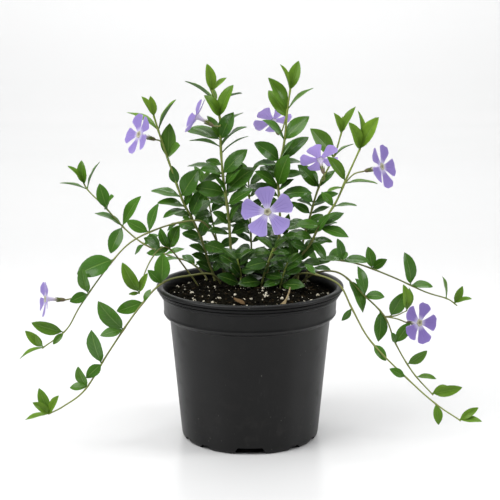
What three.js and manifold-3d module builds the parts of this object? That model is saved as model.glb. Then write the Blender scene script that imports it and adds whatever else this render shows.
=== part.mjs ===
// A lesser periwinkle in a black nursery pot. Millimetres, Z up. The origin is on the floor under the
// middle of the pot, and the front of the plant faces -Y.

import * as THREE from 'three';
import { mergeVertices } from 'three/addons/utils/BufferGeometryUtils.js';
import Module from 'manifold-3d';

const wasm = await Module();
wasm.setup();

// Pot
const LIP_RADIUS = 60;
const POT_HEIGHT = 100;
const COLLAR_RADIUS = 55.5;
const COLLAR_FOOT = 83.5;
const NECK_RADIUS = 51.6;
const NECK_HEIGHT = 79;
const HEEL_RADIUS = 44.6;
const FOOT_RADIUS = 42.8;
const WALL = 1.4;
const BASE_PLATE = 4.6;
const POT_SIDES = 28;

// Soil, which keeps a small gap to the pot
const SOIL_EDGE = 92.5;
const SOIL_MOUND = 5;
const GAP = 0.35;

// Leaves, petals and stems
const BLADE = 0.6;
const STEM_SIDES = 4;
const LONG_LEAF = 24;
const TUBE_LENGTH = 9;
const CALYX_LENGTH = 3.6;
const CLEAR = 1.9;
const LIGHT = new THREE.Vector3(0, -0.7, 0.71);
const RAD = Math.PI / 180;

// Each stem has a route of points, the first two in the soil. A leaf grows at a place along that route:
// 2.5 is half way from point 2 to point 3. Then come its length, its lean, how far it comes forward and
// the roll of its blade. A lean is an angle in degrees from upright in the front view, to the right.
// Leaves at one place are a pair or a whorl.
const STEMS = [
  {
    name: 'stem_left',
    thick: 1,
    route: [[-23, 22, 86], [-23, 22, 97], [-27, 21, 109], [-32, 20, 126], [-38, 18, 140], [-43, 16, 150],
      [-50, 14, 171], [-57, 12, 193], [-61, 10, 207]],
    leaves: [[3, 14, -82, -25, 0], [3, 15, 35, 25, 0], [4.03, 14, -80, -14, 10], [4.03, 20, 25, 4, 10],
      [4.75, 19, -79, 14, 0], [4.75, 13, 46, -20, 0], [5.2, 20, -79, -5, 34], [5.2, 23, 33, 12, 18],
      [5.58, 13, -6, 10, -20], [6.33, 23, 3, -8, 15], [6.33, 23, 38, 52, 25], [7.28, 25, -64, -22, 42],
      [7.28, 23, 31, 5, -36], [7.95, 15, -31, 0, 12], [7.95, 14, -8, 14, 0]],
  },
  {
    name: 'stem_middle_left',
    thick: 1.1,
    route: [[-10, 12, 86], [-10, 12, 98], [-12, 12, 114], [-14, 12, 143], [-17, 13, 165],
      [-18.6, 14, 184.4], [-19.3, 15, 205.4], [-24.8, 16, 223.1]],
    leaves: [[2.82, 15, -100, -20, 0], [2.82, 16, 30, 20, 0], [3.25, 21, 64, 16, 10],
      [3.25, 15, -70, -16, 5], [3.62, 25, 51, -12, 0], [3.62, 20, -72, 10, -18], [4.2, 25, -81, -10, 32],
      [4.2, 23, 44, 8, 20], [4.2, 18, -74, 34, -16], [4.88, 21, 58, -4, -36], [5.1, 21, -78, 10, 38],
      [5.1, 24, 51, 22, -36], [5.3, 25, -61, 4, 8], [5.3, 20, 49, 12, -2], [5.3, 18, -30, -14, 20],
      [5.65, 20, 59, -8, -38], [5.65, 16, -48, -20, 0], [6, 20, -41, 12, -22], [6, 23, 23, 10, 14],
      [6.47, 25, -56, -12, 42], [6.47, 22, 49, -14, -42], [6.47, 13, 18, 28, 20], [7, 18, -1, 10, 18],
      [7, 13, 9, -30, 0]],
  },
  {
    name: 'stem_middle_right',
    thick: 1,
    route: [[11, 12, 86], [11, 12, 97], [12, 13, 110], [19, 16, 128], [19, 18, 150], [18, 20, 168],
      [22, 22, 188], [24, 24, 209], [26, 25, 223]],
    leaves: [[2.7, 15, -60, 20, 0], [2.7, 14, 100, -20, 0], [4.17, 22, 82, 10, -8],
      [4.17, 22, -72, -10, 0], [4.55, 25, 17, 22, 18], [4.55, 20, -54, 14, -10], [4.92, 16, -36, -22, 0],
      [5.4, 25, 51, -16, -12], [5.4, 21, -53, 4, -14], [5.4, 19, 31, 20, -30], [6.08, 20, -47, 10, 0],
      [6.08, 22, 46, 0, 6], [6.72, 22, -34, -26, 0], [7, 24, -31, 0, 8], [7, 22, 50, 4, -38],
      [7.85, 19, -21, 12, 12], [7.85, 20, 16, -8, -8], [7.85, 15, -4, -40, 50]],
  },
  {
    name: 'stem_right_back',
    thick: 0.9,
    route: [[31, 22, 86], [31, 22, 97], [35, 26, 123], [39, 29, 137], [45, 32, 157], [55, 36, 177],
      [60, 38, 193]],
    leaves: [[2.4, 18, -112, -25, 0], [3.4, 12, -65, 14, 0], [3.4, 13, 69, -14, 0], [4, 21, -42, 8, -20],
      [4, 16, 45, -10, -10], [4, 14, -15, 30, 0], [4.97, 25, -39, 6, -6], [4.97, 16, 58, -8, -38],
      [5.92, 15, -20, 8, 10], [5.92, 20, 28, -4, -8], [5.92, 13, 7, -36, 30]],
  },
  {
    name: 'stem_right_front',
    thick: 1,
    route: [[22, 14, 86], [22, 14, 98], [30, 11, 112], [38, 8, 123], [43, 4, 134], [48, 2, 142],
      [55, 0, 154], [61, -2, 169], [69, -4, 188]],
    leaves: [[3.3, 15, 142, 15, 0], [4.25, 20, 106, 16, -10], [4.25, 13, 80, -24, -20],
      [5.7, 15, 86, 8, -8], [5.7, 12, -40, -14, 0], [6.62, 11, -103, 20, 10], [6.78, 21, 90, 4, -34],
      [6.88, 20, -37, 6, -10], [8, 22, -22, 24, -24], [8, 24, 29, 4, -4], [8, 25, -2, -14, 50],
      [8, 25, 30, -24, -42]],
  },
  {
    name: 'trailer_left_back',
    thick: 0.85,
    route: [[-29, 30, 86], [-29, 30, 97], [-40, 36, 106], [-53, 41, 109], [-71, 47, 116], [-84, 53, 125],
      [-98, 59, 139], [-110, 64, 150], [-115, 67, 159]],
    leaves: [[4, 11, -140, -20, 0], [4, 13, 55, 20, 0], [5.15, 21, -66, -4, 36], [5.15, 25, 32, 6, 8],
      [5.15, 20, -156, 14, -8], [5.9, 18, -16, -6, 0], [5.9, 20, 29, 50, 10], [7.05, 19, -77, 4, 36],
      [7.05, 21, 26, 0, -34], [7.33, 18, -38, 14, 22], [7.33, 17, -6, -4, -20]],
  },
  {
    name: 'trailer_left_high',
    thick: 0.85,
    route: [[-17, 27, 86], [-17, 27, 98], [-21, 21, 121], [-28, 12, 136], [-37, 6, 140], [-56, -1, 137],
      [-76, -6, 128], [-91, -11, 112], [-107, -17, 90], [-116, -21, 75], [-131, -25, 64]],
    leaves: [[4.5, 10, -130, -20, 0], [5.4, 16, -63, -6, 0], [5.4, 20, 19, 4, 0], [6.67, 25, -111, 8, 10],
      [7.67, 18, -10, 10, -10], [7.67, 13, -109, 24, -10], [9.12, 21, -71, 6, -14],
      [9.12, 10, -137, 14, 0], [9.97, 18, -118, -6, 28], [9.97, 16, -44, 8, 20], [9.97, 13, -16, 34, -10]],
  },
  {
    name: 'trailer_left_short',
    thick: 0.75,
    route: [[-34, 14, 86], [-34, 14, 95], [-42.5, 12, 108.2], [-51.3, 9, 120.4], [-57.4, 4, 122.2],
      [-62.9, -1, 116.4], [-67.3, -5, 107.5], [-70.7, -9, 95.3]],
    leaves: [[3.08, 18, 23, 12, 8], [3.08, 15, -15, 6, -14], [3.08, 11, -98, 26, 0],
      [4.03, 12, -35, -4, 0], [4.03, 13, -53, 14, 10], [7, 15, 23, 10, 8], [7, 23, -27, 4, -18],
      [7, 7, -91, 24, 0]],
  },
  {
    name: 'trailer_left_front',
    thick: 0.9,
    route: [[-19, 14, 86], [-19, 14, 96], [-25, 9, 104], [-37, 2, 105], [-55, -14, 104], [-70, -27, 90],
      [-87, -42, 67], [-101, -53, 46], [-114, -59, 37], [-123, -62, 33]],
    leaves: [[4.05, 19, 3, -8, 14], [4.05, 13, -42, 14, 0], [4.78, 18, -108, 6, -8],
      [4.78, 9, 30, -10, 0], [5.5, 25, -38, 10, -22], [5.5, 15, -101, 18, 0], [6.3, 23, -14, 6, -10],
      [6.3, 13, -130, 24, -10], [6.92, 15, -20, 10, -14], [6.92, 11, -95, -8, 30], [9, 16, 28, 20, 10],
      [9, 17, -21, -6, 24], [9, 15, -104, 4, 22], [9, 14, -45, 24, 10]],
  },
  {
    name: 'trailer_right_back',
    thick: 0.85,
    route: [[37, 30, 86], [37, 30, 96], [40, 32, 105], [50, 35, 108], [70, 38, 105], [95, 41, 95],
      [118, 43, 84], [133, 44, 79], [140, 45, 74]],
    leaves: [[3.62, 16, -14, 8, 0], [3.62, 18, 90, 10, -16], [4.47, 15, -11, -4, 0],
      [4.47, 14, 50, 30, 0], [5.53, 24, -12, 6, 14], [5.53, 15, 93, 6, -24], [6.95, 16, -12, 6, 26],
      [7.67, 13, 24, 0, -20], [7.67, 13, 68, 24, -20]],
  },
  {
    name: 'trailer_right_middle',
    thick: 0.85,
    route: [[33, 15, 86], [33, 15, 96], [41, 13, 103], [50, 10, 106], [60, 7, 104], [73, 4, 92],
      [87, 0, 78], [94, -4, 61], [105, -8, 43], [118, -12, 29]],
    leaves: [[4.28, 24, 156, 12, -8], [5.08, 13, 90, 14, -10], [5.08, 20, -14, -10, 30],
      [5.08, 15, -29, 10, 10], [5.75, 20, -176, 16, 0], [6.97, 16, 37, -14, 0], [6.97, 9, -21, 20, 0],
      [7.7, 16, 51, 10, 10], [8.18, 13, 95, 4, -26], [9, 20, 74, 10, 10], [9, 12, 68, -24, 0]],
    branch: {
      thick: 0.65,
      route: [[87, 0, 78], [94, -1, 79], [101, -3, 83]],
      leaves: [[0.5, 18, 27, 4, 6], [2, 19, 31, 4, -4], [2, 15, -11, -14, 30]],
    },
  },
  {
    name: 'trailer_right_front',
    thick: 0.9,
    route: [[25, 4, 86], [25, 4, 97], [31, 0, 106], [42, -9, 108], [56, -20, 104], [64, -28, 90],
      [75, -37, 72], [97, -47, 51], [114, -54, 37], [129, -60, 28]],
    leaves: [[3, 10, -50, -20, 0], [4.95, 10, -141, 8, -20], [6.08, 13, 142, 8, 0],
      [6.95, 12, -60, 12, -14], [8, 13, 172, 16, 0], [9, 14, 54, 4, -24], [9, 14, 86, 24, -24]],
  },
  {
    name: 'shoot_front_middle',
    thick: 0.8,
    route: [[7, 1, 86], [7, 1, 96], [9, -1, 106], [12, -3, 116], [15, -3, 124]],
    leaves: [[2, 13, -70, -25, 0], [2, 14, 99, 25, 0], [2.9, 17, -124, -30, 0], [2.9, 14, 70, 30, 0],
      [3.6, 15, -100, -25, 0], [3.6, 13, 108, 25, 0], [4, 14, -60, -20, 0], [4, 14, 50, 20, 0]],
  },
  {
    name: 'shoot_front_left',
    thick: 0.8,
    route: [[-6, 2, 86], [-6, 2, 96], [-6, 1, 106], [-8, 0, 116]],
    leaves: [[2.2, 13, -78, -25, 0], [2.2, 13, 78, 25, 0], [3, 14, -58, -30, 0], [3, 15, 50, 30, 0]],
  },
  {
    name: 'shoot_front_right',
    thick: 0.75,
    route: [[19, -2, 86], [19, -2, 96], [21, -4, 106], [24, -5, 115]],
    leaves: [[2.4, 12, -60, -25, 0], [2.4, 12, 60, 25, 0], [3, 12, -40, -30, 0], [3, 12, 40, 30, 0]],
  },
  {
    name: 'shoot_back_middle',
    thick: 0.8,
    route: [[1, 30, 86], [1, 30, 97], [1, 32, 114], [0, 34, 138], [-1, 35, 162]],
    leaves: [[2.5, 16, -70, -20, 0], [3, 17, -62, 20, 0], [3, 18, 74, -20, 0],
      [3.5, 17, -50, -20, 0], [3.5, 17, 55, 20, 0], [4, 16, -30, -20, 0], [4, 17, 32, 20, 0]],
  },
  {
    name: 'shoot_back_left',
    thick: 0.75,
    route: [[-16, 34, 86], [-16, 34, 97], [-20, 37, 112], [-25, 39, 134], [-29, 40, 156]],
    leaves: [[2.2, 15, -75, 20, 0], [2.2, 15, 70, -20, 0], [2.9, 16, -65, -20, 0], [2.9, 15, 60, 20, 0],
      [3.5, 17, -48, -20, 0], [3.5, 14, 50, 20, 0], [4, 18, -30, -25, 0], [4, 16, 12, 25, 0]],
  },
  {
    name: 'shoot_back_right',
    thick: 0.75,
    route: [[19, 33, 86], [19, 33, 97], [20, 36, 110], [24, 39, 124]],
    leaves: [[2, 13, -80, -20, 0], [3, 15, -40, -25, 0], [3, 15, 40, 25, 0]],
  },
];

// Each bloom grows on a stalk from its stem at a place along the route. Centre is the throat, faces is
// the way it looks, and turn sets its first petal in degrees.
const BLOOMS = [
  { name: 'bloom_front', stem: 'stem_middle_right', at: 3.3, centre: [11, -12, 149], faces: [0, -0.98, 0.18],
    radius: 16.5, turn: 98 },
  { name: 'bloom_left_top', stem: 'stem_left', at: 6.8, centre: [-70, 2, 196], faces: [-0.78, -0.52, 0.33],
    radius: 13.5, turn: 120 },
  { name: 'bloom_middle_left_top', stem: 'stem_middle_left', at: 5.75, centre: [-34, 6, 207],
    faces: [-0.85, 0.2, 0.45], radius: 12.5, turn: 60 },
  { name: 'bloom_middle_right_top', stem: 'stem_middle_right', at: 6.9, centre: [15, 34, 201],
    faces: [-0.25, 0.72, 0.62], radius: 13, turn: 40 },
  { name: 'bloom_right_back', stem: 'stem_right_back', at: 4.2, centre: [45, 18, 178],
    faces: [-0.15, 0.75, 0.62], radius: 13, turn: 60 },
  { name: 'bloom_right_top', stem: 'stem_right_front', at: 6.72, centre: [82, -14, 178],
    faces: [0.8, -0.52, 0.3], radius: 14, turn: 58 },
  { name: 'bloom_left_low', stem: 'trailer_left_high', at: 7.8, centre: [-128, -25, 96],
    faces: [-0.93, -0.33, 0.12], radius: 11.5, turn: 70 },
  { name: 'bloom_right_low', stem: 'trailer_right_middle', at: 6.0, centre: [109, -4, 75],
    faces: [0.55, -0.8, 0.2], radius: 13.5, turn: 64 },
];

const v3 = (x, y, z) => new THREE.Vector3(x, y, z);

// A small seeded row of draws from 0 to 1, the same on every run.
function drawsFrom(seed) {
  let state = seed;
  return () => {
    state = (state * 16807) % 2147483647;
    return state / 2147483647;
  };
}

// A point on a smooth route: 2.5 is half way from point 2 to point 3.
function along(route, place) {
  const last = route.length - 1;
  const from = Math.max(0, Math.min(last - 1, Math.floor(place)));
  const t = place - from;
  const point = (i) => v3(...route[Math.max(0, Math.min(last, i))]);
  const a = point(from);
  const b = point(from + 1);
  const before = from > 0 ? point(from - 1) : a.clone().multiplyScalar(2).sub(b);
  const after = from + 2 <= last ? point(from + 2) : b.clone().multiplyScalar(2).sub(a);
  const slopeA = b.clone().sub(before).multiplyScalar(0.5);
  const slopeB = after.sub(a).multiplyScalar(0.5);
  return a.clone().multiplyScalar(2 * t ** 3 - 3 * t ** 2 + 1)
    .addScaledVector(slopeA, t ** 3 - 2 * t ** 2 + t)
    .addScaledVector(b, -2 * t ** 3 + 3 * t ** 2)
    .addScaledVector(slopeB, t ** 3 - t ** 2);
}

function routePoints(route, stepsPerSpan) {
  const count = (route.length - 1) * stepsPerSpan;
  return Array.from({ length: count + 1 }, (_, i) => along(route, i / stepsPerSpan));
}

// A flower stalk leaves its stem, bends, and ends in the calyx, in line with the corolla's tube.
function stalkRoute(bloom, stem) {
  const faces = v3(...bloom.faces).normalize();
  const calyxEnd = v3(...bloom.centre).addScaledVector(faces, -TUBE_LENGTH - GAP);
  const calyxFoot = calyxEnd.clone().addScaledVector(faces, -CALYX_LENGTH);
  const root = along(stem.route, bloom.at);
  const reach = calyxFoot.distanceTo(root);
  const bend = calyxFoot.clone().addScaledVector(faces, -0.3 * reach);
  bend.lerp(root, 0.3);
  bend.z += 0.08 * reach;
  return [root, bend, calyxFoot, calyxEnd];
}

// The half width of a leaf as a part of its greatest, from the root of its stalk (0) to its tip (1).
function leafHalfWidth(s) {
  const t = Math.max(0, (s - 0.07) / 0.93);
  const peak = (0.75 / 1.65) ** 0.75 * (0.9 / 1.65) ** 0.9;
  return t ** 0.75 * (1 - t) ** 0.9 / peak;
}

// A leaf's frame: where it starts, the way it points, its upper side, its size, arch and fold.
function makeLeaf(root, stemWay, length, lean, forward, roll, draw) {
  const way = v3(
    Math.sin(lean * RAD) * Math.cos(forward * RAD),
    -Math.sin(forward * RAD),
    Math.cos(lean * RAD) * Math.cos(forward * RAD),
  );
  const upper = LIGHT.clone().multiplyScalar(0.75).addScaledVector(stemWay, 0.3);
  upper.addScaledVector(way, -upper.dot(way)).normalize();
  upper.applyAxisAngle(way, (roll + 36 * (draw() - 0.5)) * RAD);
  return {
    root: root.clone().addScaledVector(way, 0.3),
    way,
    upper,
    length,
    width: length * (0.46 + 0.12 * draw()),
    arch: (18 + 26 * draw()) * RAD,
    fold: (8 + 10 * draw()) * RAD,
  };
}

// A point of the blade: s runs from root to tip, v from the left edge (-1) to the right edge (1), and
// lift is the distance off the middle of the blade's thickness.
function leafPoint(leaf, s, v, lift) {
  const half = leaf.arch / 2;
  const turn = half - leaf.arch * s;
  const ahead = (Math.sin(half) - Math.sin(turn)) / leaf.arch;
  const rise = (Math.cos(turn) - Math.cos(half)) / leaf.arch;
  const side = leaf.way.clone().cross(leaf.upper);
  const normal = leaf.upper.clone().multiplyScalar(Math.cos(turn)).addScaledVector(leaf.way, -Math.sin(turn));
  const reach = v * Math.max(0.45, leafHalfWidth(s) * leaf.width / 2);
  return leaf.root.clone()
    .addScaledVector(leaf.way, ahead * leaf.length)
    .addScaledVector(leaf.upper, rise * leaf.length)
    .addScaledVector(side, reach * Math.cos(leaf.fold))
    .addScaledVector(normal, Math.abs(reach) * Math.sin(leaf.fold) + lift);
}

// What keeps clear of what: each thing is a few points and triangles with a ball round them.
function thing(points, corners) {
  const ball = new THREE.Sphere().setFromPoints(points);
  const triangles = corners.map((c) => new THREE.Triangle(points[c[0]], points[c[1]], points[c[2]]));
  return { points, triangles, ball };
}

function leafThing(leaf) {
  const rows = [0.15, 0.36, 0.58, 0.8, 1];
  const points = rows.flatMap((s) => [-0.8, 0, 0.8].map((v) => leafPoint(leaf, s, v, 0)));
  const corners = [];
  for (let i = 0; i < 4; i += 1) {
    for (const a of [3 * i, 3 * i + 1]) {
      corners.push([a, a + 1, a + 4], [a, a + 4, a + 3]);
    }
  }
  return thing(points, corners);
}

function bloomThing(bloom) {
  const points = [v3(...bloom.centre)];
  for (let i = 0; i < 10; i += 1) {
    points.push(bloomPoint(bloom, bloom.radius, 36 * i, 0.6));
  }
  const corners = Array.from({ length: 10 }, (_, i) => [0, 1 + i, 1 + (i + 1) % 10]);
  return thing(points, corners);
}

// A long thing, such as a stem, in short runs of points.
function runThings(points) {
  const runs = [];
  for (let i = 0; i < points.length - 1; i += 5) {
    runs.push(thing(points.slice(i, i + 6), []));
  }
  return runs;
}

function near(points, triangles) {
  const closest = v3(0, 0, 0);
  return points.some((p) => triangles.some((t) => t.closestPointToPoint(p, closest).distanceTo(p) < CLEAR));
}

function crosses(a, b) {
  const apart = a.ball.center.distanceTo(b.ball.center);
  if (apart > a.ball.radius + b.ball.radius + CLEAR) return false;
  return near(a.points, b.triangles) || near(b.points, a.triangles);
}

// The soil's surface, and the room that leaves keep over it, over the lip and over the floor.
function soilHeight(x, y) {
  const r = Math.hypot(x, y);
  const lumps = Math.sin(x * 0.5 + 1) * Math.sin(y * 0.55 + 2) + 0.6 * Math.sin(x * 0.9 + y * 0.7);
  return SOIL_EDGE + SOIL_MOUND * (1 - (r / 52) ** 2) + 0.7 * lumps;
}

function tooLow(points) {
  return points.some((p) => {
    const r = Math.hypot(p.x, p.y);
    if (r > LIP_RADIUS + 1.6) return p.z < 2.5;
    if (r > COLLAR_RADIUS - 3) return p.z < POT_HEIGHT + 1.4;
    return p.z < soilHeight(p.x, p.y) + 1.2;
  });
}

// The small turns of lean and of forward, in degrees, that a leaf tries to get clear of the rest.
function turnsToTry() {
  const turns = [];
  for (let ring = 0; ring <= 5; ring += 1) {
    for (let a = -ring; a <= ring; a += 1) {
      for (let b = -ring; b <= ring; b += 1) {
        if (Math.max(Math.abs(a), Math.abs(b)) === ring) turns.push([8 * a, 8 * b]);
      }
    }
  }
  return turns;
}

// Every leaf of a stem, bent clear of all that is already in the way. A leaf that finds no room is left
// out, as a shaded leaf falls.
function placeLeaves(shoot, inTheWay, draw) {
  const leaves = [];
  const last = shoot.route.length - 1;
  let whorl = [];
  let whorlPlace = 0;
  for (const [place, length, lean, forward, roll] of shoot.leaves) {
    if (place !== whorlPlace) {
      inTheWay.push(...whorl);
      whorl = [];
      whorlPlace = place;
    }
    const root = along(shoot.route, Math.min(place, last - 0.06));
    const stemWay = along(shoot.route, place + 0.05).sub(along(shoot.route, place - 0.05)).normalize();
    const seed = Math.floor(1 + 1e6 * draw());
    for (const [moreLean, moreForward] of turnsToTry()) {
      const leaf = makeLeaf(root, stemWay, length, lean + moreLean, forward + moreForward, roll,
        drawsFrom(seed));
      const body = leafThing(leaf);
      if (tooLow(body.points) || inTheWay.some((other) => crosses(body, other))) continue;
      leaves.push(leaf);
      whorl.push(body);
      break;
    }
  }
  inTheWay.push(...whorl);
  return leaves;
}

// Closed solids, as points and triangles.
function solidGeometry(points, triangles) {
  const geometry = new THREE.BufferGeometry();
  geometry.setAttribute('position', new THREE.Float32BufferAttribute(points.flatMap((p) => p.toArray()), 3));
  geometry.setIndex(triangles.flat());
  return geometry;
}

// A thin sheet from its upper and lower points: the upper triangles, the same ones turned over below,
// and a rim round the outline.
function sheetGeometry(upper, lower, triangles, outline) {
  const n = upper.length;
  const faces = triangles.flatMap(([a, b, c]) => [[a, b, c], [a + n, c + n, b + n]]);
  outline.forEach((a, i) => {
    const b = outline[(i + 1) % outline.length];
    faces.push([b, a, a + n], [b, a + n, b + n]);
  });
  return solidGeometry([...upper, ...lower], faces);
}

// A round rod along points, with a radius at each point and flat ends.
function rodGeometry(points, radii, sides) {
  const ways = points.map((_, i) => {
    const ahead = points[Math.min(i + 1, points.length - 1)].clone();
    return ahead.sub(points[Math.max(i - 1, 0)]).normalize();
  });
  let across = Math.abs(ways[0].x) < 0.9 ? v3(1, 0, 0) : v3(0, 1, 0);
  const rings = [];
  points.forEach((p, i) => {
    across = across.clone().addScaledVector(ways[i], -across.dot(ways[i])).normalize();
    const up = ways[i].clone().cross(across);
    for (let k = 0; k < sides; k += 1) {
      const a = 2 * Math.PI * k / sides;
      const outward = across.clone().multiplyScalar(Math.cos(a)).addScaledVector(up, Math.sin(a));
      rings.push(p.clone().addScaledVector(outward, radii[i]));
    }
  });
  const faces = [];
  for (let i = 0; i < points.length - 1; i += 1) {
    for (let k = 0; k < sides; k += 1) {
      const a = i * sides + k;
      const b = i * sides + (k + 1) % sides;
      faces.push([a, b, b + sides], [a, b + sides, a + sides]);
    }
  }
  const top = (points.length - 1) * sides;
  for (let k = 1; k < sides - 1; k += 1) {
    faces.push([0, k + 1, k], [top, top + k, top + k + 1]);
  }
  return solidGeometry(rings, faces);
}

function leafGeometry(leaf) {
  const stations = leaf.length < LONG_LEAF ? [0.3, 0.68] : [0.24, 0.5, 0.76];
  const spots = [[0, 0], ...stations.flatMap((s) => [[s, -1], [s, 0], [s, 1]]), [1, 0]];
  const tip = spots.length - 1;
  const faces = [[0, 2, 1], [0, 3, 2], [tip - 3, tip - 2, tip], [tip - 2, tip - 1, tip]];
  for (let i = 1; i < tip - 3; i += 3) {
    faces.push([i, i + 1, i + 4], [i, i + 4, i + 3], [i + 1, i + 2, i + 5], [i + 1, i + 5, i + 4]);
  }
  const rights = stations.map((_, i) => 3 * i + 3);
  const lefts = stations.map((_, i) => 3 * i + 1);
  const outline = [0, ...rights, tip, ...lefts.reverse()];
  const upper = spots.map(([s, v]) => leafPoint(leaf, s, v, BLADE / 2));
  const lower = spots.map(([s, v]) => leafPoint(leaf, s, v, -BLADE / 2));
  return sheetGeometry(upper, lower, faces, outline);
}

// A point of a corolla in front of its throat: radius, angle and height off the petals' plane.
function bloomPoint(bloom, radius, angle, height) {
  const faces = v3(...bloom.faces).normalize();
  const right = v3(0, 0, 1).cross(faces).normalize();
  const up = faces.clone().cross(right);
  return v3(...bloom.centre)
    .addScaledVector(right, radius * Math.cos(angle * RAD))
    .addScaledVector(up, radius * Math.sin(angle * RAD))
    .addScaledVector(faces, height);
}

// The outline of one petal past the throat, as [radius, angle]: lopsided and blunt at its far end, like
// a blade of a windmill.
const PETAL = [[0.42, -27], [0.9, -27.5], [1.0, -11], [0.99, 11], [0.86, 28.5], [0.42, 27]];

// A corolla is a slim five-sided tube with a shallow throat, and a petal on each side of its mouth.
function corollaGeometry(bloom) {
  const corner = (k) => bloom.turn - 36 + 72 * k;
  const ring = (radius, height) => [0, 1, 2, 3, 4].map((k) => bloomPoint(bloom, radius, corner(k), height));
  const half = BLADE / 2;
  const points = [...ring(0.9, -TUBE_LENGTH), ...ring(1.3, -3.5), ...ring(2.5, -half), ...ring(2.5, half)];
  const throat = points.length;
  points.push(bloomPoint(bloom, 0, 0, -1.2));
  const faces = [[0, 2, 1], [0, 3, 2], [0, 4, 3]];
  for (let k = 0; k < 5; k += 1) {
    const next = (k + 1) % 5;
    for (const low of [0, 5]) {
      faces.push([low + k, low + next, low + next + 5], [low + k, low + next + 5, low + k + 5]);
    }
    faces.push([15 + k, 15 + next, throat]);
    const first = points.length;
    for (const side of [half, -half]) {
      for (const [r, a] of PETAL) {
        const lift = bloom.radius * (0.1 * r * r + 0.0012 * a * r) + side;
        points.push(bloomPoint(bloom, r * bloom.radius, bloom.turn + 72 * k + a, lift));
      }
    }
    const upper = [15 + k, ...PETAL.map((_, i) => first + i), 15 + next];
    const lower = [10 + k, ...PETAL.map((_, i) => first + 6 + i), 10 + next];
    for (const [a, b, c] of [[0, 1, 6], [0, 6, 7], [1, 2, 5], [1, 5, 6], [2, 3, 4], [2, 4, 5]]) {
      faces.push([upper[a], upper[b], upper[c]], [lower[a], lower[c], lower[b]]);
    }
    for (let i = 0; i < 7; i += 1) {
      faces.push([upper[i + 1], upper[i], lower[i]], [upper[i + 1], lower[i], lower[i + 1]]);
    }
  }
  return solidGeometry(points, faces);
}

// Joining and cutting of closed solids
function toManifold(geometry) {
  const bare = geometry.clone();
  bare.deleteAttribute('normal');
  bare.deleteAttribute('uv');
  const merged = mergeVertices(bare, 1e-4);
  const index = Array.from(merged.index.array);
  const triVerts = [];
  for (let i = 0; i < index.length; i += 3) {
    const [a, b, c] = index.slice(i, i + 3);
    if (a !== b && b !== c && c !== a) triVerts.push(a, b, c);
  }
  return new wasm.Manifold(new wasm.Mesh({
    numProp: 3,
    vertProperties: new Float32Array(merged.attributes.position.array),
    triVerts: new Uint32Array(triVerts),
  }));
}

function toGeometry(manifold) {
  const mesh = manifold.getMesh();
  const geometry = new THREE.BufferGeometry();
  geometry.setAttribute('position', new THREE.BufferAttribute(new Float32Array(mesh.vertProperties), 3));
  geometry.setIndex(new THREE.BufferAttribute(new Uint32Array(mesh.triVerts), 1));
  return geometry;
}

function joined(geometries) {
  return toGeometry(geometries.map(toManifold).reduce((whole, piece) => whole.add(piece)));
}

function cut(geometry, tools) {
  const whole = toManifold(geometry);
  return toGeometry(tools.map(toManifold).reduce((rest, tool) => rest.subtract(tool), whole));
}

// A turned shape from [radius, height] points, with Z as its axis.
function turned(profile, sides) {
  const geometry = new THREE.LatheGeometry(profile.map(([r, z]) => new THREE.Vector2(r, z)), sides);
  geometry.rotateX(Math.PI / 2);
  return geometry;
}

function potGeometry() {
  const outside = [
    [0, BASE_PLATE], [FOOT_RADIUS - 3.4, BASE_PLATE], [FOOT_RADIUS - 3.2, 0], [FOOT_RADIUS, 0],
    [FOOT_RADIUS + 1.2, 1.2], [HEEL_RADIUS, 4], [NECK_RADIUS, NECK_HEIGHT],
    [NECK_RADIUS + 2.3, NECK_HEIGHT + 1], [COLLAR_RADIUS - 0.5, COLLAR_FOOT - 1.6],
    [COLLAR_RADIUS - 0.2, COLLAR_FOOT], [COLLAR_RADIUS + 0.2, 92.3], [COLLAR_RADIUS + 1.4, 92.8],
    [COLLAR_RADIUS + 1.5, 93.7], [LIP_RADIUS - 1.6, 96.2], [LIP_RADIUS - 0.1, 98], [LIP_RADIUS, 99],
    [LIP_RADIUS - 1.2, POT_HEIGHT],
  ];
  const inside = [
    [LIP_RADIUS - 3, POT_HEIGHT], [LIP_RADIUS - 4.6, 98.4], [COLLAR_RADIUS - WALL, 94],
    [COLLAR_RADIUS - WALL, COLLAR_FOOT], [NECK_RADIUS - WALL, NECK_HEIGHT],
    [HEEL_RADIUS - WALL, BASE_PLATE + WALL], [0, BASE_PLATE + WALL],
  ];
  const shell = turned([...outside, ...inside], POT_SIDES);
  return cut(shell, [...drainNotches(), ...drainHoles()]);
}

// Notches through the foot ring: two wide ones, front and back, and narrow ones beside them.
function drainNotches() {
  const notch = (angle, width, height) => {
    const shape = new THREE.Shape([
      new THREE.Vector2(-width / 2 - 0.4, -1), new THREE.Vector2(width / 2 + 0.4, -1),
      new THREE.Vector2(width / 2 - 0.5, height), new THREE.Vector2(-width / 2 + 0.5, height),
    ]);
    const bar = new THREE.ExtrudeGeometry(shape, { depth: 12, bevelEnabled: false });
    bar.rotateX(Math.PI / 2);
    bar.translate(0, -FOOT_RADIUS + 6, 0);
    bar.rotateZ(angle * RAD);
    return bar;
  };
  const notches = [];
  for (const middle of [0, 180]) {
    notches.push(notch(middle, 16, 3.9));
    for (const beside of [-65, -40, 40, 65]) {
      notches.push(notch(middle + beside, 6, 2.2));
    }
  }
  return notches;
}

function drainHoles() {
  const hole = (out, angle) => {
    const pin = new THREE.CylinderGeometry(3.5, 3.5, 10, 8);
    pin.rotateX(Math.PI / 2);
    pin.translate(out, 0, BASE_PLATE);
    pin.rotateZ(angle * RAD);
    return pin;
  };
  return [hole(0, 0), ...[45, 135, 225, 315].map((angle) => hole(26, angle))];
}

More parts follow.
